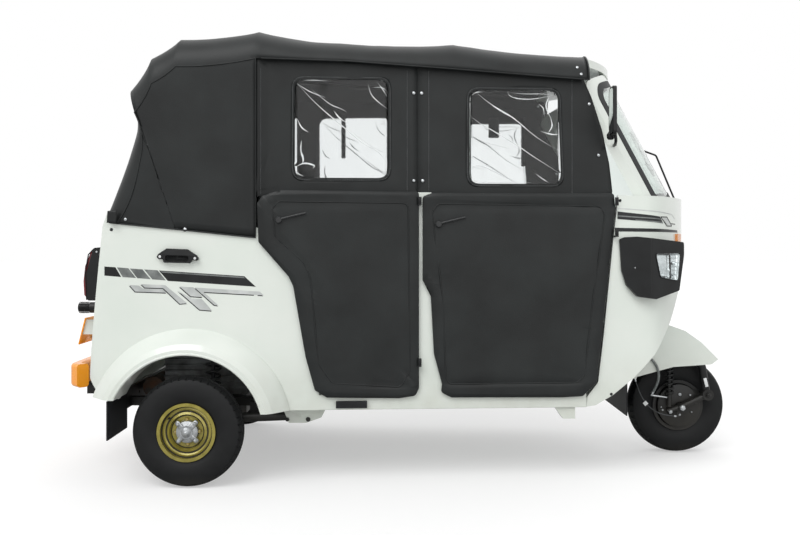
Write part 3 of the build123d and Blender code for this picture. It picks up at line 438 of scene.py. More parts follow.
for a, b in zip(grid, grid[1:]):
    for i in range(len(a) - 1):
        ring = [a[i], b[i], b[i + 1], a[i + 1]]
        if None not in ring:
            cloth.faces.new(ring)
for i in (0, -1):
    bmesh.ops.remove_doubles(cloth, verts=[line[i] for line in grid[turned:]], dist=1e-5)
bmesh.ops.remove_doubles(cloth, verts=cloth.verts, dist=SAME_PLACE)
bmesh.ops.recalc_face_normals(cloth, faces=cloth.faces)
cloth.normal_update()
if sum(f.normal.z for f in cloth.faces if f.calc_center_median().z > ROOF_Z) < 0:
    bmesh.ops.reverse_faces(cloth, faces=cloth.faces)
cloth.normal_update()
for v in cloth.verts:
    if not v.is_boundary:
        fine = ripple(v.co + Vector((3, 1, 2)), *FINE_RIPPLE)
        v.co += v.normal * (ripple(v.co, *WIDE_RIPPLE) + fine - SUNK)
for face in cloth.faces:
    middle = face.calc_center_median()
    face.material_index = int(middle.x < PANE_X and PANE_Z[0] < middle.z < PANE_Z[1]
                              and abs(middle.y) < PANE_HALF)
cloth_area = sum(f.calc_area() for f in cloth.faces)

# Clear flexible vinyl, creased from being rolled up: nearly invisible face on, with white streaks of gloss.
clear_vinyl = finish("clear_flexible_vinyl", "#F4F6F6", 0.05, IOR=1.3, Transmission_Weight=1.0)
place = add(clear_vinyl, "TexCoord")
crumple = add(clear_vinyl, "TexVoronoi", {"Vector": (place, "Object"), "Scale": 13.0}, distance="CHEBYCHEV")
slow = add(clear_vinyl, "TexNoise", {"Vector": (place, "Object"), "Scale": 9.0, "Detail": 3.0})
both = add(clear_vinyl, "Math", {0: (crumple, 0), 1: (slow, 0)}, operation="ADD")
drive(clear_vinyl, "Normal", add(clear_vinyl, "Bump", {
    "Height": (both, 0), "Distance": 0.012, "Strength": 0.12}))

canopy = built(object_of(taken(cloth), "canopy_cover", [vinyl, clear_vinyl]), CANVAS, -1)
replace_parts(canopy, "canopy")


def canopy_seam(name, rows):
    """Piping that follows the canopy through (station, row) places, on both sides."""
    for side, word in SIDES:
        line = [metres(*stations[i][j]) for i, j in rows]
        wire(f"{name}_{word}", [Vector((p.x, (0.0005 - p.y) * side, p.z)) for p in line], PIPING, vinyl)


first_full = next(i for i, row in enumerate(stations) if len(row) == widest)
canopy_seam("valance_piping", [(i, 0) for i in range(first_full)])
canopy_seam("shoulder_piping", [(i, LOW_ROWS) for i in range(first_full, count)])
canopy_seam("hem_piping", [(first_full, k) for k in range(LOW_ROWS, -1, -1)]
            + [(i, 0) for i in range(first_full + 1, turned)] + [(count - 1, k) for k in range(LOW_ROWS + 8)])
wire("front_piping", [metres(*p) + UP * 0.0004 for p in stations[0]], 0.0034, vinyl)
wire("tail_hem_piping", [metres(*p) for p in stations[-1][LOW_ROWS + 6:widest - LOW_ROWS - 6]], 0.003, vinyl)

# ---- canopy frame ---------------------------------------------------------------------------
# Bent steel tube, welded at the joints and painted satin black; it carries the canopy, the
# curtains and the hinges of the doors. The same paint is on the chassis and the brackets.
chassis_paint = finish("satin_chassis_paint", "#121314", 0.42, ("#191B1C", 60, 2.5, 0.05, 0.08),
                       ("#5E584D", 0.12, 0.34, 0.35), Specular_IOR_Level=0.35)
dress(chassis_paint, "tube_frame", "underframe", "door_hinges", "steering_head", "driver_seat_box",
      "trailing_arms", "drive_shafts", "steering_fork", "front_link")

# ---- side curtains --------------------------------------------------------------------------
# Roll-up curtains of the same canvas with clear windows welded in behind a border. They hang just
# inside the body side, are zipped and stitched down their edges, and pucker where they are stretched.
CURTAINS = {
    "rear": ([(238, 1088), (238, 1618), (600, 1612), (862, 1600), (862, 1088)],
             [(394, 1160), (394, 1535), (749, 1535), (749, 1160)], (268, 822)),
    "front": ([(862, 1088), (862, 1600), (1498, 1563), (1535, 1480), (1578, 1350), (1606, 1220),
               (1618, 1112), (1616, 1088)], [(1062, 1140), (1062, 1500), (1404, 1500), (1418, 1140)],
              (905, 1460))}
CURTAIN_OUT = -29.0
LAP_X, LAP_RUN, LAP_OUT = 300, 52, 21.0
SHEET_FOLD, PANE_FOLD = (90, 3.0), (70, 3.0)    # size and depth of the folds, mm
LENGTHENED, FINER, FINE_SHARE = 0.45, 2.6, 0.4
CANVAS_LIGHT, CLEAR_SHEET = 0.0012, 0.0007      # thicknesses, m
NEARLY_STRAIGHT, EDGE_SHARE = 3.1, 0.48         # rounding: radians, share of an edge


def drawn_out(x):
    """How far the rear curtain's rear edge is drawn out to the canopy that laps over it, in mm."""
    near = min(1.0, max(0.0, (LAP_X - x) / LAP_RUN))
    return LAP_OUT * near * near * (3 - 2 * near)


def on_curtain(x, z, out, side, fold=SHEET_FOLD):
    """A place on a hanging sheet, moved by soft folds that are longer down than across."""
    size, depth, shifted = *fold, x + side * 40
    pucker = depth * (noise.noise(Vector((shifted / size, z / size * LENGTHENED, 3.7)))
                      + FINE_SHARE * noise.noise(Vector((shifted / size * FINER, z / size, 9.1))))
    return on_side(x, z, out + drawn_out(x) + pucker, side)


def panel(name, outline, holes, side, material, out, fold=SHEET_FOLD, step=26,
          thick=CANVAS_LIGHT):
    """Sheet on a body side at a distance out of it, given soft folds and a thickness; and its area."""
    shape = sliced(outline, holes, step)
    for v in shape.verts:
        v.co = on_curtain(v.co.x, v.co.y, out, side, fold)
    area = sum(f.calc_area() for f in shape.faces)
    return built(object_of(taken(shape), name, material), thick), area


def rounded(points, radius, steps=5):
    """Outline with each corner turned into an arc of that radius."""
    made = []
    for i, corner in enumerate(points):
        here, before, after = Vector(corner), Vector(points[i - 1]), Vector(points[(i + 1) % len(points)])
        a, b = before - here, after - here
        turn = a.angle(b)
        back = min(radius / tan(turn / 2), a.length * EDGE_SHARE, b.length * EDGE_SHARE)
        if turn > NEARLY_STRAIGHT:
            made.append(here)
            continue
        start, end = here + a.normalized() * back, here + b.normalized() * back
        made += [(1 - t) ** 2 * start + 2 * t * (1 - t) * here + t * t * end
                 for t in (k / steps for k in range(steps + 1))]
    return made


def grown(outline, by):
    """A convex outline moved outwards by so many millimetres."""
    middle = sum((Vector(p) for p in outline), Vector((0, 0))) / len(outline)
    return [Vector(p) + Vector((by if p[0] > middle.x else -by, by if p[1] > middle.y else -by))
            for p in outline]


def tree_of(name, **inputs):
    """Geometry Nodes tree with an input named for each value and one for the finish."""
    tree = bpy.data.node_groups.new(name, "GeometryNodeTree")
    tree.interface.new_socket("Geometry", in_out="INPUT", socket_type="NodeSocketGeometry")
    for label, value in inputs.items():
        kind = "NodeSocketInt" if isinstance(value, int) else "NodeSocketFloat"
        socket = tree.interface.new_socket(label.replace("_", " "), in_out="INPUT", socket_type=kind)
        socket.default_value = value
    tree.interface.new_socket("Finish", in_out="INPUT", socket_type="NodeSocketMaterial")
    tree.interface.new_socket("Geometry", in_out="OUTPUT", socket_type="NodeSocketGeometry")
    owner = type("Owner", (), {"node_tree": tree})
    return owner, add(owner, "NodeGroupInput")


def realized(owner, given, last, smooth=False):
    """Ends a tree in Realize Instances and Set Material."""
    last = add(owner, "GeometryNodeRealizeInstances", {0: (last, 0)})
    if smooth:
        last = add(owner, "GeometryNodeSetShadeSmooth", {0: (last, 0)})
    last = add(owner, "GeometryNodeSetMaterial", {"Geometry": (last, 0), "Material": (given, "Finish")})
    owner.node_tree.links.new(last.outputs[0], add(owner, "NodeGroupOutput").inputs[0])
    return owner.node_tree


def repeated(name, mesh, tree, material, **sizes):
    """Piece that a tree makes from a bare mesh, with the tree's sizes by name."""
    made = linked(name, mesh)
    rows = made.modifiers.new("rows", "NODES")
    rows.node_group = tree
    keys = {item.name: item.identifier for item in tree.interface.items_tree if item.in_out == "INPUT"}
    for label, value in {"Finish": material, **sizes}.items():
        rows[keys[label.replace("_", " ")]] = value
    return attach(baked(made), "chassis")


# short stitches laid end to end along a piece's edges
owner, given = tree_of("stitch_line", Pitch=0.009, Stitch_Length=0.006, Thread_Radius=0.0007)
line = add(owner, "GeometryNodeMeshToCurve", {"Mesh": (given, "Geometry")})
dots = add(owner, "GeometryNodeCurveToPoints", {"Curve": (line, 0), "Length": (given, "Pitch")},
           mode="LENGTH")
one = add(owner, "GeometryNodeMeshCylinder", {"Vertices": 5, "Radius": (given, "Thread Radius"),
                                              "Depth": (given, "Stitch Length")}, fill_type="NONE")
turn = add(owner, "FunctionNodeAlignRotationToVector", {"Vector": (dots, "Tangent")}, axis="Z")
stitch_line = realized(owner, given, add(owner, "GeometryNodeInstanceOnPoints", {
    "Points": (dots, "Points"), "Instance": (one, "Mesh"), "Rotation": (turn, 0)}))

thread = finish("polyester_thread", "#55585A", 0.6, ("#7A7D7E", 20, 2, 0.1), Sheen_Weight=0.2)
for side, word in SIDES:
    points, edges = [], []
    for place, (outline, window, seams) in CURTAINS.items():
        hole = rounded(window, 42, 7)
        sheet, area = panel(f"curtain_{place}_{word}", rounded(outline, 4, 2), [hole], side, vinyl,
                            CURTAIN_OUT)
        pane, _ = panel(f"curtain_pane_{place}_{word}", rounded(grown(window, 3), 44, 7), [], side,
                        clear_vinyl, CURTAIN_OUT, PANE_FOLD, 16, CLEAR_SHEET)
        panel(f"curtain_border_{place}_{word}", rounded(grown(window, 13), 50, 7), [hole], side, vinyl,
              CURTAIN_OUT + 1.4)
        width, height = ((max(p[k] for p in outline) - min(p[k] for p in outline)) / 1000 for k in (0, 1))
        if place == "rear" and side < 0:
            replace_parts(sheet, "side_curtains")
            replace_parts(pane, "clear_windows")
        ring = rounded(grown(window, 8), 46, 7)
        for line, out in (*([[(x, z) for z in range(1100, 1590, 26)], 1.6] for x in seams),
                          (ring + ring[:1], 2.8)):
            edges += [(len(points) + k, len(points) + k + 1) for k in range(len(line) - 1)]
            points += [on_curtain(*p, CURTAIN_OUT + out, side) for p in line]
    mesh = bpy.data.meshes.new("stitches")
    mesh.from_pydata(points, edges, [])
    repeated(f"curtain_stitches_{word}", mesh, stitch_line, thread)

# ---- painted crease highlights and tie straps of the windows ----------------------------------
# Where the clear vinyl is folded up again and again, a narrow white ridge paints the gloss highlight of the
# crease.
# The straps that tie the rolled curtain up are black polyester webbing, sewn flat down the far panes.
CREASE_HIGHLIGHTS = [       # width of each ridge, then its line
    (5.0, [(406, 1516), (475, 1440), (586, 1348), (660, 1285), (708, 1266), (748, 1216)]),
    (4.0, [(402, 1518), (455, 1484), (512, 1466)]),
    (3.6, [(458, 1497), (530, 1436), (568, 1425), (590, 1411)]),
    (6.5, [(543, 1416), (560, 1390), (592, 1369)]), (3.0, [(592, 1352), (690, 1275), (742, 1255)]),
    (7.0, [(404, 1384), (420, 1348), (446, 1334)]),
    (9.0, [(420, 1300), (416, 1262), (428, 1232), (424, 1212)]),
    (8.0, [(398, 1200), (430, 1218), (474, 1206), (462, 1196)]),
    (4.0, [(400, 1186), (410, 1172), (428, 1166)]),
    (4.0, [(672, 1522), (682, 1478), (716, 1446), (745, 1426)]),
    (3.6, [(706, 1528), (728, 1500), (746, 1470)]),
    (3.0, [(690, 1505), (728, 1508), (744, 1492)]), (3.4, [(430, 1530), (460, 1532), (520, 1529)]),
    (5.0, [(1064, 1400), (1110, 1366), (1150, 1345), (1240, 1293), (1312, 1243), (1415, 1180)]),
    (4.4, [(1088, 1490), (1140, 1448), (1182, 1424), (1236, 1392), (1320, 1318), (1410, 1268)]),
    (9.0, [(1150, 1440), (1200, 1412), (1242, 1389)]), (3.0, [(1064, 1322), (1130, 1296), (1216, 1275)]),
    (6.0, [(1066, 1202), (1102, 1214), (1180, 1176), (1228, 1150)]),
    (5.0, [(1318, 1180), (1346, 1158), (1368, 1146)]),
    (4.2, [(1208, 1494), (1218, 1476), (1258, 1466), (1320, 1467), (1392, 1484)]),
    (3.0, [(1210, 1492), (1270, 1486), (1340, 1488), (1396, 1482)]),
    (7.0, [(1372, 1478), (1354, 1442), (1378, 1392)]), (5.0, [(1330, 1448), (1350, 1434), (1352, 1404)]),
    (6.0, [(1336, 1344), (1380, 1330), (1412, 1332)]), (6.0, [(1376, 1400), (1386, 1362), (1366, 1336)]),
    (3.0, [(1408, 1340), (1405, 1280), (1410, 1196)]), (3.6, [(1070, 1480), (1090, 1493), (1116, 1492)]),
    (3.6, [(1068, 1158), (1086, 1146), (1160, 1144), (1300, 1145)])]
STRAPS = (("rear", 513, 21, 1552, 1334), ("front", 1402, 20, 1532, 1290), ("tab", 1258, 52, 1532, 1432))
# near-white finish that paints the highlights along the creases
painted_crease_highlight = finish("painted_crease_highlight_white", "#F1F4F4", 0.22, ("#D9DEDE", 25, 2.5, 0.1, 0.1), Coat_Weight=0.7)


def smoothed(points):
    """A line with its corners cut off evenly, three times over."""
    for _ in range(3):
        inner = [p for a, b in zip(points, points[1:]) for p in (a.lerp(b, 0.25), a.lerp(b, 0.75))]
        points = [points[0]] + inner[1:-1] + [points[-1]]
    return points


# each crease line becomes a narrow white ridge: a painted highlight
for side, word in SIDES:
    shape = bmesh.new()
    for width, line in CREASE_HIGHLIGHTS:
        points = smoothed([Vector(p) for p in line])
        last = None
        for k, p in enumerate(points):
            along = (points[min(k + 1, len(points) - 1)] - points[max(k - 1, 0)]).normalized()
            taper = 0.12 + 0.88 * sin(pi * (k / (len(points) - 1))) ** 0.7
            uneven = 0.8 + 0.35 * noise.noise(Vector((p.x / 9, p.y / 9, 5)))
            across = Vector((-along.y, along.x)) * (0.5 * width * taper * uneven)
            row = [shape.verts.new(on_curtain(*q, CURTAIN_OUT + height, side, PANE_FOLD))
                   for q, height in ((p - across, 0.5), (p, 1.5), (p + across, 0.5))]
            for i in (0, 1) if last else ():
                shape.faces.new((last[i], last[i + 1], row[i + 1], row[i])[::side])
            last = row
    object_of(taken(shape), f"window_folds_{word}", painted_crease_highlight)
webbing = finish("black_webbing", "#131415", 0.8, ("#1D1F20", 90, 2, 0.05), Sheen_Weight=0.2)
for name, x, width, top, low in STRAPS:
    left, right = x - width / 2, x + width / 2
    panel(f"tie_strap_{name}", [(left, top), (right, top), (right, low + 4), (right - 5, low),
                                (left + 5, low), (left, low + 4)], [], 1, webbing, CURTAIN_OUT - 5,
          step=20, thick=0.002)

# ---- lower doors ----------------------------------------------------------------------------
# A light steel frame padded and covered with the canvas. The cover is drawn tight over the frame,
# a welded piping runs round inside the edge, and the cloth between lies in soft dents.
DOOR_OUT, DOOR_IN, DOOR_EDGE, DOOR_BEVEL = 26.0, 6.6, 6.0, 60.0
NEARLY_E = 2.718
COVER_SLACK, GROOVE, ROLL, SWELL, TUCK = 3.4, 3.4, 7, 3.0, 1.8      # heights over the frame, mm
# outline, hinge line, piping, handle and the heights of the hinge barrels
DOORS = {
    "rear": ([(864, 1106), (344, 1110), (276, 1089), (257, 1060), (262, 915), (374, 786), (391, 750),
              (437, 485), (472, 358), (517, 330), (789, 325), (850, 334), (864, 362)], 866,
             [(313, 1039), (336, 1068), (823, 1062), (830, 432), (795, 368), (537, 385), (486, 459),
              (456, 780), (431, 838), (325, 936)], (338, 998), (450, 1060)),
    "front": ([(878, 1088), (917, 1102), (1612, 1102), (1617, 1042), (1603, 919), (1568, 570), (1545, 376),
               (1491, 326), (1412, 322), (987, 326), (948, 346), (952, 376), (921, 492), (909, 710),
               (878, 771)], 1620,
              [(913, 1026), (935, 1060), (1558, 1052), (1575, 1020), (1527, 688), (1496, 408), (1470, 380),
               (978, 378), (965, 400), (955, 688)], (938, 983), (940, 1060))}
SKIN_GAP = 2                    # least thickness of the padding, mm
BARREL = [(0, 6.4), (0.04, 7), (0.96, 7), (1, 6.4)]
KNOB = [(0, 11), (0.15, 13), (0.5, 8), (0.75, 13), (1, 10)]


def gap_to(loop, x, z):
    """Distance from a place to the nearest edge of a closed line."""
    here, least = Vector((x, z)), 1e9
    for a, b in zip(loop, loop[1:] + loop[:1]):
        run = b - a
        t = max(0, min(1, (here - a).dot(run) / max(run.length_squared, 1e-9)))
        least = min(least, (here - a - run * t).length)
    return least


def bell(distance, width):
    """A bump of height 1 that fades out over a width."""
    return NEARLY_E ** (-(distance / width) ** 2)


def door_face(x, z, edge, pipe):
    """Height of the door's outer skin over the body side."""
    rim, seam = gap_to(edge, x, z), gap_to(pipe, x, z)
    roll = ROLL * (1 - min(rim / 14, 1)) ** 2
    swell = min(rim / 60, 1) * SWELL * noise.noise(Vector((x / 130, z / 190, 1.3)))
    tuck = TUCK * noise.noise(Vector((x / 45, z / 60, 7.7))) * bell(seam, 45)
    return DOOR_OUT - COVER_SLACK - roll - GROOVE * bell(seam, 8) + swell + tuck


def rings_joined(rings, count, closed=False):
    """Faces between rings of count points each, and from the last ring to the first where closed."""
    pairs = [(a, (a + 1) % rings) for a in range(rings if closed else rings - 1)]
    return [[a * count + k, a * count + (k + 1) % count, b * count + (k + 1) % count, b * count + k]
            for a, b in pairs for k in range(count)]


def turned_piece(name, start, end, profile, material, body="chassis", sides=20, sharp=35):
    """Closed turned part between two points; profile gives (share of the way, radius in mm)."""
    axis = end - start
    across = axis.normalized().orthogonal().normalized()
    third = axis.normalized().cross(across)
    turns = [2 * pi * k / sides for k in range(sides)]
    points = [start + axis * share + (across * cos(turn) + third * sin(turn)) * radius / 1000
              for share, radius in profile for turn in turns]
    total, last = len(points), len(points) - sides
    faces = rings_joined(len(profile), sides)
    for k in range(sides):
        faces += [[total, (k + 1) % sides, k], [total + 1, last + k, last + (k + 1) % sides]]
    return object_of(mesh_of([*points, start, end], faces), name, material, body, sharp=sharp)


door_hardware = finish("black_nylon", "#1A1B1C", 0.38, ("#242628", 30, 1.5, 0.08))
for side, word, place in ((*one, place) for one in SIDES for place in DOORS):
    outline, hinge, piping, (hx, hz), heights = DOORS[place]
    name, body = f"{place}_door_cover_{word}", f"{place}_door_{word}"
    edge = [Vector(p) for p in rounded(outline, 14, 4)]
    pipe = [Vector(p) for p in rounded(piping, 26, 6)]
    shape = sliced(edge, step=22)
    shape.verts.index_update()
    flat = [(v.co.x, v.co.y, door_face(v.co.x, v.co.y, edge, pipe)) for v in shape.verts]
    faces = [[v.index for v in f.verts] for f in shape.faces]
    rim = [(e.verts[0].index, e.verts[1].index) for e in shape.edges if e.is_boundary]
    shape.free()
    total = len(flat)
    points = [on_side(*p, side) for p in flat]
    for x, z, out in flat:
        bevel = max(0, min(1, (x - hinge + DOOR_BEVEL) / DOOR_BEVEL))
        inner = DOOR_IN + (DOOR_OUT - DOOR_EDGE - DOOR_IN) * bevel
        points.append(on_side(x, z, min(inner, out - SKIN_GAP), side))
    faces += [[total + i for i in reversed(f)] for f in faces]
    faces += [[a, b, total + b, total + a] for a, b in rim]
    cover = object_of(mesh_of(points, faces), name, vinyl, body, sharp=50)
    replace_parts(cover, f"door_{place}_{word}")
    seam = [on_side(p.x, p.y, door_face(p.x, p.y, edge, pipe) + 1.0, side) for p in pipe]
    wire(name + "_piping", seam, PIPING, vinyl, body, cyclic=True)
    turned_piece(name + "_knob", on_side(hx, hz, 22, side), on_side(hx, hz, 36, side), KNOB, door_hardware,
                 body)
    wire(name + "_bar", [on_side(hx + x, hz + z, out, side) for x, z, out in
                         ((10, 4, 31), (50, 14, 32), (100, 26, 29))], ROD, door_hardware, body)
    for k, z in enumerate(heights):
        low, high = on_side(hinge, z, DOOR_OUT, side), on_side(hinge, z + 26, DOOR_OUT, side)
        turned_piece(f"{name}_barrel_{k}", low, high, BARREL, chassis_paint, body)

# ---- windscreen -----------------------------------------------------------------------------
# Curved laminated glass, faintly green, stands between the screen pillars. A black extruded
# rubber profile is pressed round its edge.
windscreen = finish("laminated_glass", "#F2F8F5", 0.0, ("#EAF3EE", 400), IOR=1.45, Transmission_Weight=1.0)
rubber = finish("extruded_rubber", "#101113", 0.55, ("#202225", 50, 2, 0.05, 0.08), Specular_IOR_Level=0.3)
dress(windscreen, "windscreen_glass")
dress(rubber, "windscreen_seal", "step_pads", "mud_flaps")

# ---- wheels ---------------------------------------------------------------------------------
# Small bias-ply tyres on pressed steel rims in olive gold paint. The tread has two zigzag grooves
# and slotted shoulders, and the sidewall has moulded rings; all three wheels are alike. Dark rings
# on the rear rims are painted shade where the rim's grooves lie.
SLOTS, SLOT_DEPTH = 44, 4.0
TREAD_FROM, SHOULDER = 193, 27                  # radius, and half width, where they begin
ZIGZAG, GROOVE_AT, GROOVE_HALF, GROOVE_DEPTH = 2.5, 15, 2.2, 5.0
WALL_RINGS = ((120, 2, -0.8), (178, 1.6, -0.8))         # radius, half width, depth
# inner and outer radius and the two widths of the dark rings that paint the shade in the rim's grooves, mm
RIM_GROOVE_SHADES = ((91.5, 96.8, 30, 32.3), (74.5, 80.5, 28, 30.4), (58.5, 62.8, 19.5, 21.2))
ARM = ((0.008, 13, 14), (0.030, 10, 12), (0.050, 9.5, 8), (0.056, 6, 5))    # reach, half width, rise
ARM_SECTION = ((-1, 0), (-1, 0.7), (-0.6, 1), (0.6, 1), (1, 0.7), (1, 0))
ARM_TURN = 47
tyre_rubber = finish("moulded_tyre_rubber", "#0E0F10", 0.6, ("#151617", 40, 2.2, 0.12, 0.1),
                     ("#55524B", 0.0, 0.05, 0.4), Specular_IOR_Level=0.27)
zinc = finish("yellow_zinc_plate", "#B9A565", 0.34, ("#8F8A6A", 12, 1.5, 0.05, 0.06), Metallic=0.9)
nut_steel = finish("bright_zinc_plate", "#C9CCCE", 0.3, ("#A7ABAD", 14, 1.5, 0.05, 0.05), Metallic=0.95)
cast_alloy = finish("sand_cast_aluminium", "#B8BBBD", 0.42, ("#8D9092", 18, 2.4, 0.25, 0.08), Metallic=0.85)
rim_paint = finish("olive_gold_enamel", "#8E8433", 0.32, ("#A79B48", 30, 2, 0.04, 0.06),
                   ("#5B5334", 0.05, 0.3, 0.5), Metallic=0.35, Coat_Weight=0.4)
# dark finish of the painted shade in the rim's grooves
painted_groove_shade = finish("painted_groove_shade_dark", "#1B1810", 0.75, ("#2B2718", 40, 2, 0.1))
dress(rim_paint, "rear_rim_right", "rear_rim_left")
dress(chassis_paint, "front_rim", "front_hub")
dress(cast_alloy, "rear_hub_right", "rear_hub_left")


def arc_through(a, b, c, steps):
    """Points on the arc through three (radius, width) places."""
    ax, ay, bx, by, cx, cy = *a, *b, *c
    aa, bb, cc = ax * ax + ay * ay, bx * bx + by * by, cx * cx + cy * cy
    d = 2 * (ax * (by - cy) + bx * (cy - ay) + cx * (ay - by))
    centre = Vector(((aa * (by - cy) + bb * (cy - ay) + cc * (ay - by)) / d,
                     (aa * (cx - bx) + bb * (ax - cx) + cc * (bx - ax)) / d))
    first, second, third = (Vector(p) - centre for p in (a, b, c))
    turn = first.angle_signed(second) + second.angle_signed(third)
    return [(centre.x + first.x * cos(t) + first.y * sin(t), centre.y - first.x * sin(t) + first.y * cos(t))
            for t in (turn * k / steps for k in range(steps))]


def lathe(centre, profile, steps, shape=None):
    """Ring turned about the wheel's axle; shape may lower a radius by radius, width and step."""
    points = []
    for k in range(steps):
        angle = 2 * pi * k / steps
        for radius, width in profile:
            r = radius - (shape(radius, width, k) if shape else 0)
            points.append(centre + Vector((r * cos(angle), width, r * sin(angle))) / 1000)
    return mesh_of(points, rings_joined(steps, len(profile), closed=True))


def tread(radius, width, k):
    """Depth of the tread and of the moulded rings at a place on the tyre."""
    for ring, half, depth in WALL_RINGS:
        if abs(radius - ring) < half:
            return depth
    if radius < TREAD_FROM:
        return 0.0
    zigzag = ZIGZAG if k // 3 % 2 else -ZIGZAG
    if abs(abs(width + zigzag) - GROOVE_AT) < GROOVE_HALF:
        return GROOVE_DEPTH
    return SLOT_DEPTH if abs(width) > SHOULDER and k % 6 == 0 else 0.0


def bolt(name, place, out, radius, height, material, body="chassis"):
    """Hexagon nut with a chamfer and a stud end, standing out along a direction."""
    turned_piece(name, place, place + out * height, [(0, radius), (0.8, radius), (1, radius * 0.82)],
                 material, body, 6)
    turned_piece(name + "_stud", place + out * height * 0.6, place + out * (height + 0.004),
                 [(0, radius * 0.55), (0.85, radius * 0.55), (1, radius * 0.4)], material, body, 12)


wall = arc_through((101, 38), (152, 53.3), (196, 44), 26)
crown_line = [(TYRE_R - 12 * (w / 44) ** 2 - 0.2, w) for w in (44 - 88 * k / 40 for k in range(41))]
tyre_profile = wall + crown_line + [(r, -w) for r, w in reversed(wall)]
for name, x, y, face, body, node in (
        ("rear_right", 0, -575, -1, "rear_wheel_right", "rear_tyre_right"),
        ("rear_left", 0, 575, 1, "rear_wheel_left", "rear_tyre_left"),
        ("front", 2000, 0, 1, "front_wheel", "front_tyre")):
    middle, out = metres(x, y, TYRE_R), ACROSS * face
    tyre = lathe(middle, tyre_profile, SLOTS * 6, tread)
    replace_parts(object_of(tyre, f"tyre_{name}", tyre_rubber, body, sharp=38), node)
    if name == "front":
        continue
    for quarter in range(4):
        turn = radians(90 * quarter + ARM_TURN)
        arm, between = (Vector((cos(t), 0, sin(t))) for t in (turn, turn + pi / 4))
        across, base = arm.cross(out), middle + out * 0.030
        ring = [base + arm * reach + across * (w * half / 1000) + out * (h * rise / 1000)
                for reach, half, rise in ARM for w, h in ARM_SECTION]
        faces = rings_joined(4, 6) + [[0, 1, 2, 3, 4, 5], [23, 22, 21, 20, 19, 18]]
        built(object_of(mesh_of(ring, faces), f"hub_arm_{name}_{quarter}", cast_alloy, body),
              edge=0.0016, sharp=40)
        bolt(f"hub_bolt_{name}_{quarter}", base + arm * 0.044 + out * 0.008, out, 7.5, 0.007, nut_steel, body)
        bolt(f"wheel_nut_{name}_{quarter}", middle + out * 0.020 + between * 0.045, out, 8.5, 0.009, zinc,
             body)
    turned_piece(f"hub_cap_{name}", middle + out * 0.038, middle + out * 0.052,
                 [(0, 21), (0.5, 20), (0.8, 15), (1, 9)], cast_alloy, body, 28)
    bolt(f"hub_nut_{name}", middle + out * 0.050, out, 9, 0.006, nut_steel, body)
    # thin dark rings laid on the rim paint the shade in its grooves
    for k, (inner, outer, low, high) in enumerate(RIM_GROOVE_SHADES):
        section = [(r, w * face) for r, w in ((inner, low), (outer, low), (outer, high), (inner, high))]
        object_of(lathe(middle, section, 72), f"rim_groove_{name}_{k}", painted_groove_shade, body, sharp=35)
    stem = middle + Vector((-0.065, 0, 0.052))
    turned_piece(f"valve_{name}", stem + out * 0.022, stem + out * 0.052,
                 [(0, 4), (0.5, 3.6), (0.6, 2.6), (1, 2.6)], rubber, body, 12)

# ---- front suspension -----------------------------------------------------------------------
# One fork leg and a trailing link carry the stub axle. A coil spring over a damper stands behind
# the link, a rubber hose feeds the drum brake and a thin cable runs up from the hub. The rear
# arms have a coil round a damper each.
FRONT_DAMPER = [(0, 11), (0.22, 11), (0.23, 17), (0.25, 17), (0.255, 8), (0.76, 8), (0.77, 18), (0.8, 18),
                (0.82, 12), (1, 9)]
HOSE = [(1825, -126, 431), (1846, -127, 430), (1870, -127, 413), (1891, -126, 380), (1898, -122, 342),
        (1891, -112, 303), (1876, -100, 270)]
CABLE = [(1795, -122, 333), (1806, -122, 296), (1824, -122, 254), (1850, -121, 218), (1885, -119, 191),
         (1928, -116, 176), (1970, -112, 172)]
hose_rubber = finish("braided_hose_rubber", "#7C8180", 0.5, ("#5D6261", 12, 1.5, 0.1))
cable_sheath = finish("ribbed_pvc_sheath", "#2C2E30", 0.42, ("#4A4D4F", 16, 1.2, 0.06))
tag = finish("moulded_white_nylon", "#E6E8E8", 0.4, ("#D5D8D8", 8, 1.2, 0.05))


def coil_spring(name, x, y, low, high, radius, turns, wire_radius, body):
    """Coil spring whose two ends are ground flat."""
    line = []
    for share in (k / (turns * 14) for k in range(turns * 14 + 1)):
        rise = min(max((share - 0.07) / 0.86, 0), 1)
        turn = 2 * pi * turns * share
        line.append(metres(x + radius * cos(turn), y + radius * sin(turn), low + (high - low) * rise))
    return wire(name, line, wire_radius, chassis_paint, body)


coil = coil_spring("front_coil", 1950, -92, 266, 396, 15, 8, 0.004, "steering")
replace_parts(coil, "front_shock")
turned_piece("front_damper", metres(1950, -92, 209), metres(1950, -92, 452), FRONT_DAMPER, chassis_paint,
             "steering", 24)
lines, fittings = [], []
for name, node, route, radius, material in (
        ("brake_hose_line", "brake_hose", HOSE, 0.0055, hose_rubber),
        ("speed_cable_line", "speed_cable", CABLE, 0.00225, cable_sheath)):
    made = curve_through(name, [metres(*p) for p in route], order=3)
    made.data.splines[0].resolution_u = 10
    line = evaluated(made)
    places = [v.co for v in line.vertices]
    length = sum((places[a] - places[b]).length for a, b in (e.vertices for e in line.edges))
    thicken_line(made.data, radius, 4)
    made.data.materials.append(material)
    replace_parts(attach(made, "steering"), node)
    lines.append((made, length))
for name, route, radius in (("hose", HOSE, 6.8), ("cable", CABLE, 4.2)):
    for word, end, inner, before, after, profile in (
            ("ferrule", -1, -2, 0.006, 0.013, [(0, 0.9), (0.1, 1), (0.5, 1), (0.55, 0.8), (1, 0.8)]),
            ("sleeve", 0, 1, 0.001, 0.012, [(0, 0.9), (0.1, 1), (0.8, 1), (1, 0.85)])):
        place, beside = metres(*route[end]), metres(*route[inner])
        along = (place - beside if end else beside - place).normalized()
        section = [(share, radius * r) for share, r in profile]
        fittings.append(turned_piece(f"{name}_{word}", place - along * before, place + along * after, section,
                                     nut_steel, "steering", 16))
wire("hose_union", [metres(1871, -96, 259), metres(1912, -94, 253), metres(1944, -92, 248)], 0.004, nut_steel,
     "steering")


def upright(y, *places):
    """Places (x, z) in an upright plane along the vehicle."""
    return [metres(x, y, z) for x, z in places]


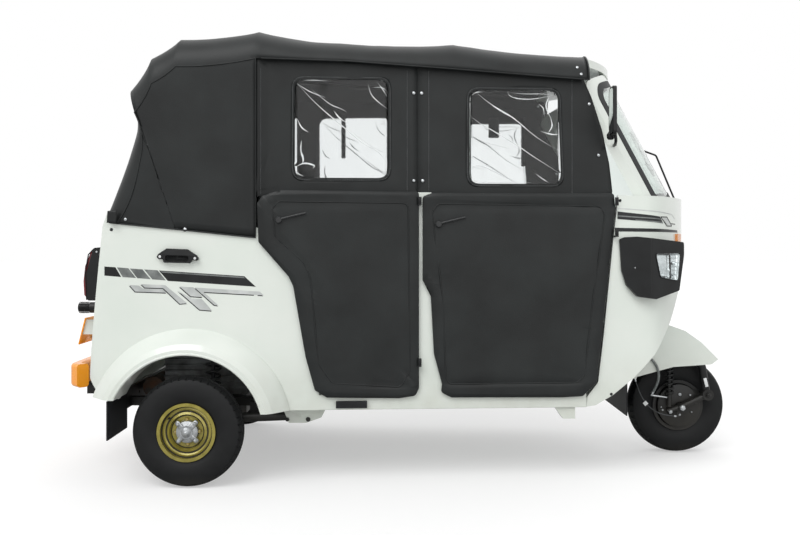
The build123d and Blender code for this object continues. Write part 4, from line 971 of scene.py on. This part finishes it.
def slab(name, corners, axis, thick, material, body="chassis", edge=0.001):
    """Plate from its corner places, given a thickness along a direction and soft edges."""
    low, high = ([p + axis * thick * way / 2 for p in corners] for way in (-1, 1))
    n = len(corners)
    faces = [list(range(n)), list(range(n, 2 * n))] + rings_joined(2, n)
    made = object_of(mesh_of(low + high, faces), name, material, body)
    return built(made, edge=edge, sharp=35) if edge else made


slab("cable_tag", upright(-125.6, (1827, 230), (1840, 241), (1851, 228), (1838, 217)), ACROSS, 0.003, tag,
     "steering")
slab("fork_reflector", upright(-111.5, (2090, 333), (2103, 336), (2112, 299), (2099, 296)), ACROSS, 0.004,
     tag, "steering")
for name, place, radius, height, material in (("front_axle_nut", (2000, -110, 208), 13, 0.012, nut_steel),
                                              ("link_pivot_nut", (2112, -111, 262), 11, 0.009, chassis_paint),
                                              ("shock_foot_nut", (1950, -106, 190), 9, 0.009, nut_steel)):
    bolt(name, metres(*place), -ACROSS, radius, height, material, "steering")
backplate = lathe(metres(2000, -66, TYRE_R), [(18, -4), (84, -4), (92, 0), (92, 5), (84, 5), (18, 3)], 64)
object_of(backplate, "brake_backplate", chassis_paint, "steering", sharp=35)
for k, (x, z, radius) in enumerate(((1921, 204, 4), (1927, 191, 5), (2001, 171, 5.5), (2002, 258, 8),
                                    (2046, 256, 5), (2052, 182, 4))):
    bolt(f"brake_plate_nut_{k}", metres(x, -69, z), -ACROSS, radius, 0.006, nut_steel, "steering")
for side, word in SIDES:
    coil = coil_spring(f"rear_coil_{word}", 64, side * 448, 256, 494, 28, 9, 0.006, "chassis")
    if side < 0:
        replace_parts(coil, "rear_springs")
    turned_piece(f"rear_damper_{word}", metres(64, side * 448, 248), metres(64, side * 448, 500),
                 [(0, 17), (0.45, 17), (0.46, 8), (1, 8)], chassis_paint)

# ---- cowl stripes and headlamps -------------------------------------------------------------
# Cut vinyl films wrap round the nose: a dark band with a framed end, over one thick line. A grey
# line along the band is a painted highlight. The headlamps sit in black moulded pods, with a fluted
# bright reflector behind a clear cover.
COWL_X, LINE_END, FILLET_END = 1600, 139.8, 219.5
FILLET, FILLET_R = (1733.15, 377.2), 110
NOSE, NOSE_R, NOSE_TURN = (1358, 0), 642, radians(45.156)
FRAME = [(213, 1013), (263, 1013.5), (311, 979), (264, 978.5)]
LAMP = [Vector(p) for p in ((0, 871), (128.1, 872), (116.1, 765), (25, 781))]
LAMP_FOOT, LAMP_ALONG = (1768.56, 524.89), Vector((149, 82)).normalized()
FLUTE_END, DIVIDER_END = 74, 82
MOULDED_EDGE = 0.0022           # radius of the beads and edges, m
lamp_plastic = finish("black_moulded_plastic", "#0D0E0F", 0.36, ("#151718", 60, 1.6, 0.08, 0.07),
                      Specular_IOR_Level=0.35)
bright = finish("vacuum_aluminised_plastic", "#EDEFF0", 0.14, ("#D3D7D9", 30, 5, 0.25, 0.05), Metallic=1.0)
lamp_cover = finish("clear_polycarbonate", "#F7FAFA", 0.03, ("#EEF3F3", 40, 6, 0.08), IOR=1.42,
                    Transmission_Weight=1.0)
amber = finish("amber_acrylic", "#E8861C", 0.12, ("#F29A2E", 20, 5, 0.25, 0, True), IOR=1.45,
               Transmission_Weight=0.35, Coat_Weight=0.5)
dress(lamp_plastic, "headlamp_pods", "tail_lamps", "plate_lamp", "dashboard")
dress(amber, "indicators")


def on_cowl(s, z, out, side):
    """A place on the nose, s millimetres round its plan from x = 1600 and out proud of it."""
    if s < LINE_END:
        return on_side(COWL_X + s * cos(TAPER), z, out, side)
    turn, radius, middle = NOSE_TURN - (s - FILLET_END) / NOSE_R, NOSE_R, NOSE
    if s < FILLET_END:
        turn, radius, middle = pi / 2 - TAPER - (s - LINE_END) / FILLET_R, FILLET_R, FILLET
    return metres(middle[0] + (radius + out) * cos(turn), side * (middle[1] + (radius + out) * sin(turn)), z)


def bar(a, b, width):
    """Outline of a straight line of film between two places."""
    a, b = Vector(a), Vector(b)
    across = (b - a).normalized().orthogonal() * width / 2
    return [a + across, b + across, b - across, a - across]


def in_lamp(u, z, out, side):
    """A place in the headlamp: u along its face from the rear edge, out millimetres proud."""
    return metres(LAMP_FOOT[0] + u * LAMP_ALONG.x + out * LAMP_ALONG.y,
                  side * (LAMP_FOOT[1] - u * LAMP_ALONG.y + out * LAMP_ALONG.x), z)


def flat_sheet(name, outline, place, material, thick, holes=(), step=400, smooth=False, **edges):
    """Sheet cut from an outline and laid where place puts its points, with a thickness in metres."""
    shape = sliced(outline, holes, step)
    for v in shape.verts:
        v.co = place(v.co.x, v.co.y)
    return built(object_of(taken(shape), name, material, smooth=smooth), thick, **edges)


def round_head(name, at, way, radius, height=0.003, top=2.6, sides=16):
    """Domed screw head standing out of a surface."""
    turned_piece(name, at, at + way * height, [(0, radius), (0.5, radius - 0.2), (1, top)], nut_steel,
                 sides=sides)


for name, out, material, outlines in (
        ("hairline", 0.8, film_silver, [bar((32, 1045), (312, 1025), 3.6),
                                        bar((312, 1025), (350, 1008), 2.6)]),
        ("band", 0.8, film_black, [[(30, 1033), (207, 1014.5), (232, 987.5), (30, 1004)]]),
        # the upper of these grey lines is a painted highlight along the band
        ("band_lines", 1.0, grey_film_and_highlight, [[(30, 1018.5), (211, 1006.5), (215, 1002.5), (30, 1013.5)],
                                        [(100, 1002), (224, 993.5), (230, 988.5), (100, 998.5)]]),
        ("frame", 0.8, film_black, [bar(FRAME[k], FRAME[(k + 1) % 4], 4) for k in range(4)]
         + [bar((296, 988), (352, 987), 3.6)]),
        ("frame_fill", 1.0, film_silver, [[(222, 1008), (261, 1008.5), (300, 983), (266, 983)]]),
        ("line", 0.8, film_black, [[(20, 970.5), (384, 963), (384, 953.5), (20, 956)]])):
    decal("cowl_" + name, outlines, out, material, on_cowl, 9)
for side, word in SIDES:
    shape = sliced(rounded(LAMP, 10), step=4.5)
    for v in shape.verts:
        edge = gap_to(LAMP, v.co.x, v.co.y)
        flute = 0.9 * abs(sin(v.co.x * 0.36)) if v.co.x < FLUTE_END else 1.4 * abs(sin(v.co.y * 0.2))
        depth = -0.5 if edge < 1.2 else -3 - min((edge - 1.2) * 1.3, 8.5) + flute * min(edge / 8, 1)
        if FLUTE_END < v.co.x < DIVIDER_END:
            depth = -4
        v.co = in_lamp(v.co.x, v.co.y, depth, side)
    object_of(taken(shape), f"headlamp_reflector_{word}", bright)
    cover = flat_sheet(f"headlamp_cover_{word}", rounded(LAMP, 10), lambda u, z: in_lamp(u, z, 0.8, side),
                       lamp_cover, 0.0014)
    if side < 0:
        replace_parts(cover, "headlamp_lenses")
    wire(f"headlamp_bezel_{word}", [in_lamp(*p, 0.6, side) for p in rounded(grown(LAMP, 1.2), 11)],
         MOULDED_EDGE, lamp_plastic, cyclic=True)
    for label, u, z, size in (("bulb", 99, 833, 7.5), ("pilot", 98, 786, 3.6)):
        turned_piece(f"headlamp_{label}_{word}", in_lamp(u, z, -8, side), in_lamp(u, z, -1.5, side),
                     [(0, size), (0.3, size), (0.7, size * 0.8), (0.95, size * 0.35)], bright, sharp=60)
    divider = [in_lamp(u, z, -3.5, side) for u, z in ((76, 868), (79, 820), (81, 776))]
    wire(f"headlamp_divider_{word}", divider, MOULDED_EDGE, lamp_plastic)
    round_head(f"pod_screw_{word}", metres(1693, side * 516.2, 817), Vector((-0.181, 0.983 * side, 0)), 4.4,
               sides=20)
    rib = [metres(x, side * y, z) for x, y, z in ((1697, 517, 812), (1716, 520.2, 803), (1741, 524.8, 788))]
    wire(f"pod_rib_{word}", rib, 0.0014, lamp_plastic)
    wire(f"indicator_base_{word}", [on_cowl(s, 917, 3, side) for s in range(352, 415, 6)], 0.002, rubber)

# ---- tail: lamps, plate and bumper ----------------------------------------------------------
# Black moulded lamps with a dark red prismatic lens hang on the tail corners. A bare plate on a
# cream bracket has its own lamp, and the bumper is a folded channel in orange enamel.
TAIL_RIM = [(-364, 889), (-384, 868), (-396, 800), (-391, 698)]
RING_R = 22.3
red = finish("dark_red_acrylic", "#8C0D1A", 0.1, ("#5E0711", 30, 5, 0.3, 0, True), IOR=1.45,
             Transmission_Weight=0.2, Coat_Weight=0.6)
orange = finish("orange_enamel", "#FFA20C", 0.28, ("#FF9A08", 120, 3, 0.02, 0.05),
                ("#9A6A2C", 0.1, 0.34, 0.35), Coat_Weight=0.35)
dress(red, "tail_lenses")
dress(orange, "rear_bumper")
for side, word in SIDES:
    rim = upright(side * 558, *TAIL_RIM) + upright(side * 472, *reversed(TAIL_RIM))
    wire(f"tail_lamp_rim_{word}", rim, MOULDED_EDGE, lamp_plastic, cyclic=True)
    for k, (x, z) in enumerate(((-391.5, 845), (-396.5, 765))):
        wire(f"tail_lens_rib_{word}_{k}", [metres(x, side * y, z) for y in (478, 515, 552)], 0.0016,
             lamp_plastic)
    for k, z in enumerate((878, 712)):
        round_head(f"tail_lamp_screw_{word}_{k}", metres(-352, side * 560, z), ACROSS * side, 4.2, 0.0025,
                   2.4)
    for k, y in enumerate((150, 330)):
        bolt(f"bumper_bolt_{word}_{k}", metres(-520, side * y, 391), -AHEAD, 9, 0.006, nut_steel)
slab("plate_bracket", upright(-127.5, (-487, 611), (-462, 613), (-466, 560), (-480, 504), (-513, 500)),
     ACROSS, 0.0035, enamel)
# a thin black sheet laid on the bracket paints the shade inside its slot
slab("plate_bracket_slot", upright(-129.6, (-481, 580), (-473, 584), (-482, 530), (-492, 527)), ACROSS,
     0.0008, lamp_plastic, edge=0)
for k, y in enumerate((-275, -155)):
    round_head(f"plate_screw_{k}", metres(-490.5, y, 594), -Vector((1, 0, 0.25)).normalized(), 4.6)
for k in range(9):
    ring = [metres(-496 + k * 4.6, -330 + RING_R * cos(t * pi / 12), 652 + RING_R * sin(t * pi / 12))
            for t in range(24)]
    wire(f"plate_lamp_ring_{k}", ring, 0.0011, lamp_plastic, cyclic=True, sides=2)

# ---- vents, screws and studs ----------------------------------------------------------------
# The engine breathes through a small black grille on each side, held by two round-headed screws.
# One Geometry Nodes tree places these heads, and the studs of the canopy, curtains and body.
VENT = [(-118, 860), (-110, 871), (-80, 891), (-2, 888), (34, 864), (41, 853), (34, 845), (16, 848),
        (8, 836), (-90, 838), (-96, 852), (-109, 850)]
GRILLE = [(-85, 866), (2, 863.5), (2, 841), (-85, 843)]
for side, word in SIDES:
    vent = flat_sheet(f"vent_frame_{word}", rounded(VENT, 5, 4), lambda x, z: on_side(x, z, 9.5, side),
                      lamp_plastic, 0.0095, [rounded(GRILLE, 8, 4)], smooth=True, offset=-1,
                      edge=MOULDED_EDGE, segments=3, sharp=40)
    if side < 0:
        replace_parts(vent, "side_vents")
    slab(f"vent_mesh_{word}", [on_side(*p, 4, side) for p in grown(GRILLE, 2)], ACROSS, 0.002, lamp_plastic,
         edge=0)
    for k in range(6):
        louvre = [on_side(x, 845.5 + k * 3.9 + (40 + x) * -0.028, 6.6, side) for x in (-85, -42, 1)]
        wire(f"vent_louvre_{word}_{k}", louvre, 0.0012, lamp_plastic, sides=2)
    wire(f"vent_mullion_{word}", [on_side(-42, z, 7.6, side) for z in (841, 866)], 0.0018, lamp_plastic)

# a domed head on each point, turned to the way that the point faces
owner, given = tree_of("screw_heads", Head_Radius=0.005, Head_Height=0.003, Seed=7)
facing = add(owner, "GeometryNodeInputNamedAttribute", {"Name": "facing"}, data_type="FLOAT_VECTOR")
turn = add(owner, "FunctionNodeAlignRotationToVector", {"Vector": (facing, 0)}, axis="Z")
flat = add(owner, "Math", {0: (given, "Head Height"), 1: (given, "Head Radius")}, operation="DIVIDE")
scale = add(owner, "CombineXYZ", {0: 1.0, 1: 1.0, 2: (flat, 0)})
head = add(owner, "GeometryNodeMeshUVSphere", {"Segments": 14, "Rings": 8, "Radius": (given, "Head Radius")})
spread = add(owner, "FunctionNodeRandomValue", {"Min": 0.94, "Max": 1.06, "Seed": (given, "Seed")},
             data_type="FLOAT")
size = add(owner, "VectorMath", {0: (scale, 0), "Scale": (spread, "Value")}, operation="SCALE")
screw_heads = realized(owner, given, add(owner, "GeometryNodeInstanceOnPoints", {
    "Points": (given, "Geometry"), "Instance": (head, "Mesh"), "Rotation": (turn, 0), "Scale": (size, 0)}),
    smooth=True)


def screws(name, places, material, radius, height):
    """Screw heads at (place, facing) pairs, as one piece."""
    mesh = bpy.data.meshes.new(name)
    mesh.from_pydata([place for place, _ in places], [], [])
    facing = mesh.attributes.new("facing", "FLOAT_VECTOR", "POINT")
    for k, (_, way) in enumerate(places):
        facing.data[k].vector = way
    repeated(name, mesh, screw_heads, material, Head_Radius=radius, Head_Height=height)


def side_places(spots, out):
    """Places on both body sides, facing outwards."""
    return [(on_side(x, z, out, side), ACROSS * side) for side, _ in SIDES for x, z in spots]


screws("vent_screws", side_places([(-105, 860.5), (26, 854)], 19.2), tag, 0.005, 0.002)

# ---- press studs, mirrors and wiper ---------------------------------------------------------
# Nickel press studs hold the curtains and the canopy's hem. The mirrors are black moulded shells
# on the screen pillars, and one wiper arm springs a rubber blade against the glass.
MIRROR_X = 1589.0
STUDS = (("canopy_cover", (-14, 963), (-238, 1000), (1476, 1588), (1489, 1560)),
         ("curtain_front_{}", (876, 1486), (1526, 1450), (1563, 1252)),
         ("curtain_rear_{}", (846, 1486), (846, 1150)), ("curtain_front_{}", (880, 1150)))
MIRROR, MIRROR_RIM = ([(low, bottom), (high, bottom), (high, top), (low, top)] for low, high, bottom, top in
                      ((536, 596, 1326, 1494), (533, 599, 1323, 1497)))
dress(lamp_plastic, "mirrors", "wiper")
mirror_face = finish("silvered_glass", "#DDE3E4", 0.03, ("#D2D9DB", 60, 8, 0.02), Metallic=1.0)
studs = []


def stud_on(cover, start, way):
    """Adds a stud where a line from outside meets a cover, facing back along the line."""
    hit, place, facing, _ = bpy.data.objects[cover].ray_cast(start, way)
    if hit:
        studs.append((place, facing if facing.dot(way) < 0 else -facing))


for side, word in SIDES:
    for cover, *spots in STUDS:
        for x, z in spots:
            stud_on(cover.format(word), metres(x, side * 900, z), ACROSS * -side)
for y in range(-420, 421, 140):
    stud_on("canopy_cover", metres(-900, y, 1012), AHEAD)
screws("press_studs", studs, nut_steel, 0.0065, 0.003)
screws("press_stud_rings", studs, lamp_plastic, 0.0088, 0.0016)
screws("body_studs", side_places([(-292, 962), (1640, 1075), (1606, 330)], 0.4), rubber, 0.006, 0.003)
for side, word in SIDES:
    flat_sheet(f"mirror_glass_{word}", rounded(MIRROR, 22, 6), lambda y, z: metres(MIRROR_X, side * y, z),
               mirror_face, 0.0016)
    rim = [metres(MIRROR_X + 0.4, side * y, z) for y, z in rounded(MIRROR_RIM, 24, 6)]
    wire(f"mirror_rim_{word}", rim, 0.002, lamp_plastic, cyclic=True)
    ball = metres(1597, side * 522, 1326)
    turned_piece(f"mirror_ball_{word}", ball - UP * 0.020, ball + UP * 0.012,
                 [(0, 9), (0.2, 14), (0.6, 15), (0.85, 10), (1, 6)], lamp_plastic, sharp=60)
for k, shift in enumerate((-2.4, 2.4)):
    wire(f"wiper_blade_{k}", upright(-60, (1802 + shift, 1389), (1850 + shift, 1300), (1899 + shift, 1211)),
         0.0016, rubber)

# ---- seats -----------------------------------------------------------------------------------
# Foam cushions under black grained vinyl, stuffed hard: the covers crown over the foam, are drawn
# in at the pleats and at the ends, and carry a round piping along their edges.
PAD_ROLL, PAD_STEP, PLEAT_DEPTH = 24, 6, 5
BENCH_PLEATS = range(-375, 376, 125)
# the node, its section, half width, the way that the padded face looks, crown and pleats
PADS = {
    "bench_pad": ("bench_cushion", [(-60, 563), (-60, 648), (405, 648), (405, 563)], 500, (0, 1), 12,
                  BENCH_PLEATS),
    "bench_back_pad": ("bench_backrest", [(-66, 563), (-150, 563), (-225, 1080), (-145, 1090)], 500,
                       (1, 0.14), 12, BENCH_PLEATS),
    "driver_pad": ("driver_seat", [(935, 520), (935, 590), (1290, 590), (1290, 520)], 220, (0, 1), 11,
                   (-110, 0, 110)),
    "driver_back_pad": ("driver_backrest", [(927, 640), (927, 860), (975, 860), (975, 640)], 215, (1, 0), 9,
                        (-105, 0, 105))}
seat_vinyl = finish("grained_seat_vinyl", "#191A1B", 0.42, ("#232526", 90, 3, 0.2, 0.05, True),
                    Sheen_Weight=0.05)
for name, (node, section, half, facing, bulge, pleats) in PADS.items():
    outline = rounded(section, PAD_ROLL)
    loop = []
    for a, b in zip(outline, outline[1:] + outline[:1]):
        pieces = max(1, round((b - a).length / 26))
        loop += [a.lerp(b, k / pieces) for k in range(pieces)]
    count = len(loop)
    middle = sum(loop, Vector((0, 0))) / count
    way = Vector(facing).normalized()
    spread = [p.dot(Vector((-way.y, way.x))) for p in loop]
    outwards = []
    for k, p in enumerate(loop):
        run = (loop[(k + 1) % count] - loop[k - 1]).normalized()
        normal = Vector((run.y, -run.x))
        outwards.append(normal if normal.dot(p - middle) > 0 else -normal)
    steps = half // PAD_STEP
    points = []
    for y in (-half + 2 * half * k / steps for k in range(steps + 1)):
        left = min(half - abs(y), PAD_ROLL)
        roll = PAD_ROLL - (PAD_ROLL ** 2 - (PAD_ROLL - left) ** 2) ** 0.5
        draw = sum(PLEAT_DEPTH * bell(y - pleat, 7) for pleat in pleats)
        for p, normal, s in zip(loop, outwards, spread):
            share = (s - min(spread)) / (max(spread) - min(spread))
            front = max(normal.dot(way), 0)
            rise = front * bulge * (4 * share * (1 - share)) ** 0.6 * (1 - (y / half) ** 4)
            wave = 1.2 * noise.noise(Vector((p.x / 90, y / 120, p.y / 90)))
            q = p + normal * (rise + wave - roll - draw * (0.3 + 0.7 * front))
            points.append(metres(q.x, y, q.y))
    faces = rings_joined(steps + 1, count) + [range(count), range(steps * count, (steps + 1) * count)]
    cushion = object_of(mesh_of(points, faces), name, seat_vinyl)
    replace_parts(cushion, node)
    corners = sorted((Vector(p) for p in section), key=lambda c: -(c - middle).dot(way))
    for k, corner in enumerate(corners[:2]):
        place = corner + (middle - corner).normalized() * 8
        wire(f"{name}_piping_{k}", [metres(place.x, y, place.y) for y in range(-half + 22, half - 21, 22)],
             0.003, seat_vinyl)

# ---- cabin and drive -------------------------------------------------------------------------
# A moulded dashboard with one round instrument, a tubular handlebar with ribbed grips, and a
# sheet floor. Behind the bench lie a cast engine block and its pressed-steel silencer. Outside,
# a sheet skin covers each sill and a flap of canvas closes each tail corner under the canopy.
TICKS, TICK_STEP, FIRST_TICK, NEEDLE_TURN = 11, 26, -130, -2
MAT_REAR, MAT_FRONT, MAT_INSET, MAT_Z = 500, 1490, 28, 320.5
SILL = [(487, 283), (1508, 283), (1508, 340), (975, 340), (962, 372), (862, 372), (845, 346), (820, 338),
        (487, 338)]
CANOPY_CORNER = [(-302, 987), (-268, 984), (-262, 1036), (-299, 1031)]
GRIP = [(0, 14), (0.02, 19), (0.06, 19), *((0.08 + k * 0.03, 16.5 if k % 2 else 15.2) for k in range(29)),
        (0.97, 19), (1, 18)]
mat_rubber = finish("ribbed_mat_rubber", "#1D1F20", 0.6, ("#272A2B", 160, 6, 0.25, 0.08),
                    ("#7A7264", 0.25, 0.6, 0.45))
engine_cast = finish("oily_cast_aluminium", "#6F7273", 0.5, ("#4B4C4B", 50, 3, 0.4, 0.12),
                     ("#5A5246", 0.2, 0.42, 0.6), Metallic=0.75)
scorched = finish("scorched_steel", "#4A4642", 0.55, ("#6B4C38", 40, 3, 0.2, 0.12), Metallic=0.7)
grip_rubber = finish("ribbed_grip_rubber", "#141516", 0.6, ("#1E2021", 20, 1.5, 0.1))
dial = finish("printed_dial", "#E9ECEA", 0.3, ("#DDE1DF", 30, 1, 0.01), Coat_Weight=0.5)
dress(enamel, "engine_deck", "arm_brackets", "number_plate", "floor_pan")
dress(engine_cast, "engine")
dress(scorched, "silencer")
dress(nut_steel, "handlebar")


def level(z, *places):
    """Places (x, y) in a level plane."""
    return [metres(x, y, z) for x, y in places]


mat = [(x, side * (half_at(x) - MAT_INSET))
       for x, side in ((MAT_REAR, -1), (MAT_FRONT, -1), (MAT_FRONT, 1), (MAT_REAR, 1))]
slab("floor_mat", level(MAT_Z, *mat), UP, 0.003, mat_rubber)
for k, x in enumerate(range(520, 1441, 40)):
    rib = level(322.2, (x, -half_at(x) + 40), (x, half_at(x) - 40))
    wire(f"mat_rib_{k}", rib, 0.0022, mat_rubber, sides=1)
for side, word in SIDES:
    panel(f"canopy_corner_{word}", CANOPY_CORNER, [], side, vinyl, 2.2, (90, 0.5), 12)
    bolt(f"arm_pivot_nut_{word}", metres(358, side * 479.5, 230), ACROSS * side, 8, 0.007, chassis_paint)
    turned_piece(f"arm_hole_{word}", metres(438, side * 479, 230), metres(438, side * 480.7, 230),
                 [(0, 9), (1, 9)], chassis_paint)
    flat_sheet(f"sill_skin_{word}", SILL, lambda x, z: on_side(x, z, 1.0, side), enamel, 0.0012, step=200)
slab("plate_panel", [metres(-486, -301, 607.5), metres(-486, -129, 607.5), metres(-513, -129, 499.5),
                     metres(-513, -301, 499.5)], Vector((0.970, 0, -0.244)), 0.0052, orange)
for side, word in SIDES:
    inner, end = metres(1654, side * 200, 1038), metres(1627, side * 345, 1038)
    run, fore = end - inner, Vector((0.032, 0, 0.004))
    turned_piece(f"grip_{word}", inner + run * 0.14, end + run * 0.01, GRIP, grip_rubber, "steering", 24, 60)
    turned_piece(f"switch_{word}", inner - run * 0.22, inner + run * 0.1,
                 [(0, 17), (0.08, 21), (0.92, 21), (1, 18)], lamp_plastic, "steering", 16)
    lever = [inner + run * along + fore * out for along, out in
             ((-0.1, 0.3), (0, 0.9), (0.45, 1), (0.84, 1))]
    wire(f"lever_{word}", lever, ROD, nut_steel, "steering", order=3)
low, high = metres(1858, 0, 962), metres(1832, 0, 972)
out = (high - low).normalized()
up = ACROSS.cross(out).normalized()
turned_piece("instrument_case", low, high, [(0, 50), (0.7, 52), (0.95, 50), (0.96, 45), (1, 44)],
             lamp_plastic, sides=40)
turned_piece("instrument_dial", high, high + out * 0.0008, [(0, 42), (1, 42)], dial, sides=40)
for k in range(TICKS):
    turn = radians(FIRST_TICK + TICK_STEP * k)
    ray = up * cos(turn) + ACROSS * sin(turn)
    wire(f"dial_tick_{k}", [high + out * 0.0012 + ray * r for r in (0.032, 0.039)], 0.0007, lamp_plastic,
         sides=1)
needle, ray = high + out * 0.002, up * cos(NEEDLE_TURN) + ACROSS * sin(NEEDLE_TURN)
wire("dial_needle", [needle, needle + ray * 0.033], 0.0011, red, sides=1)
turned_piece("dial_boss", high, high + out * 0.004, [(0, 5), (0.8, 5), (1, 3)], lamp_plastic, sides=16)
for k in range(9):
    fin = level(235 + 24 * k, (-194, -196), (154, -196), (154, 196), (-194, 196))
    slab(f"engine_fin_{k}", fin, UP, 0.005, engine_cast, edge=0.0012)
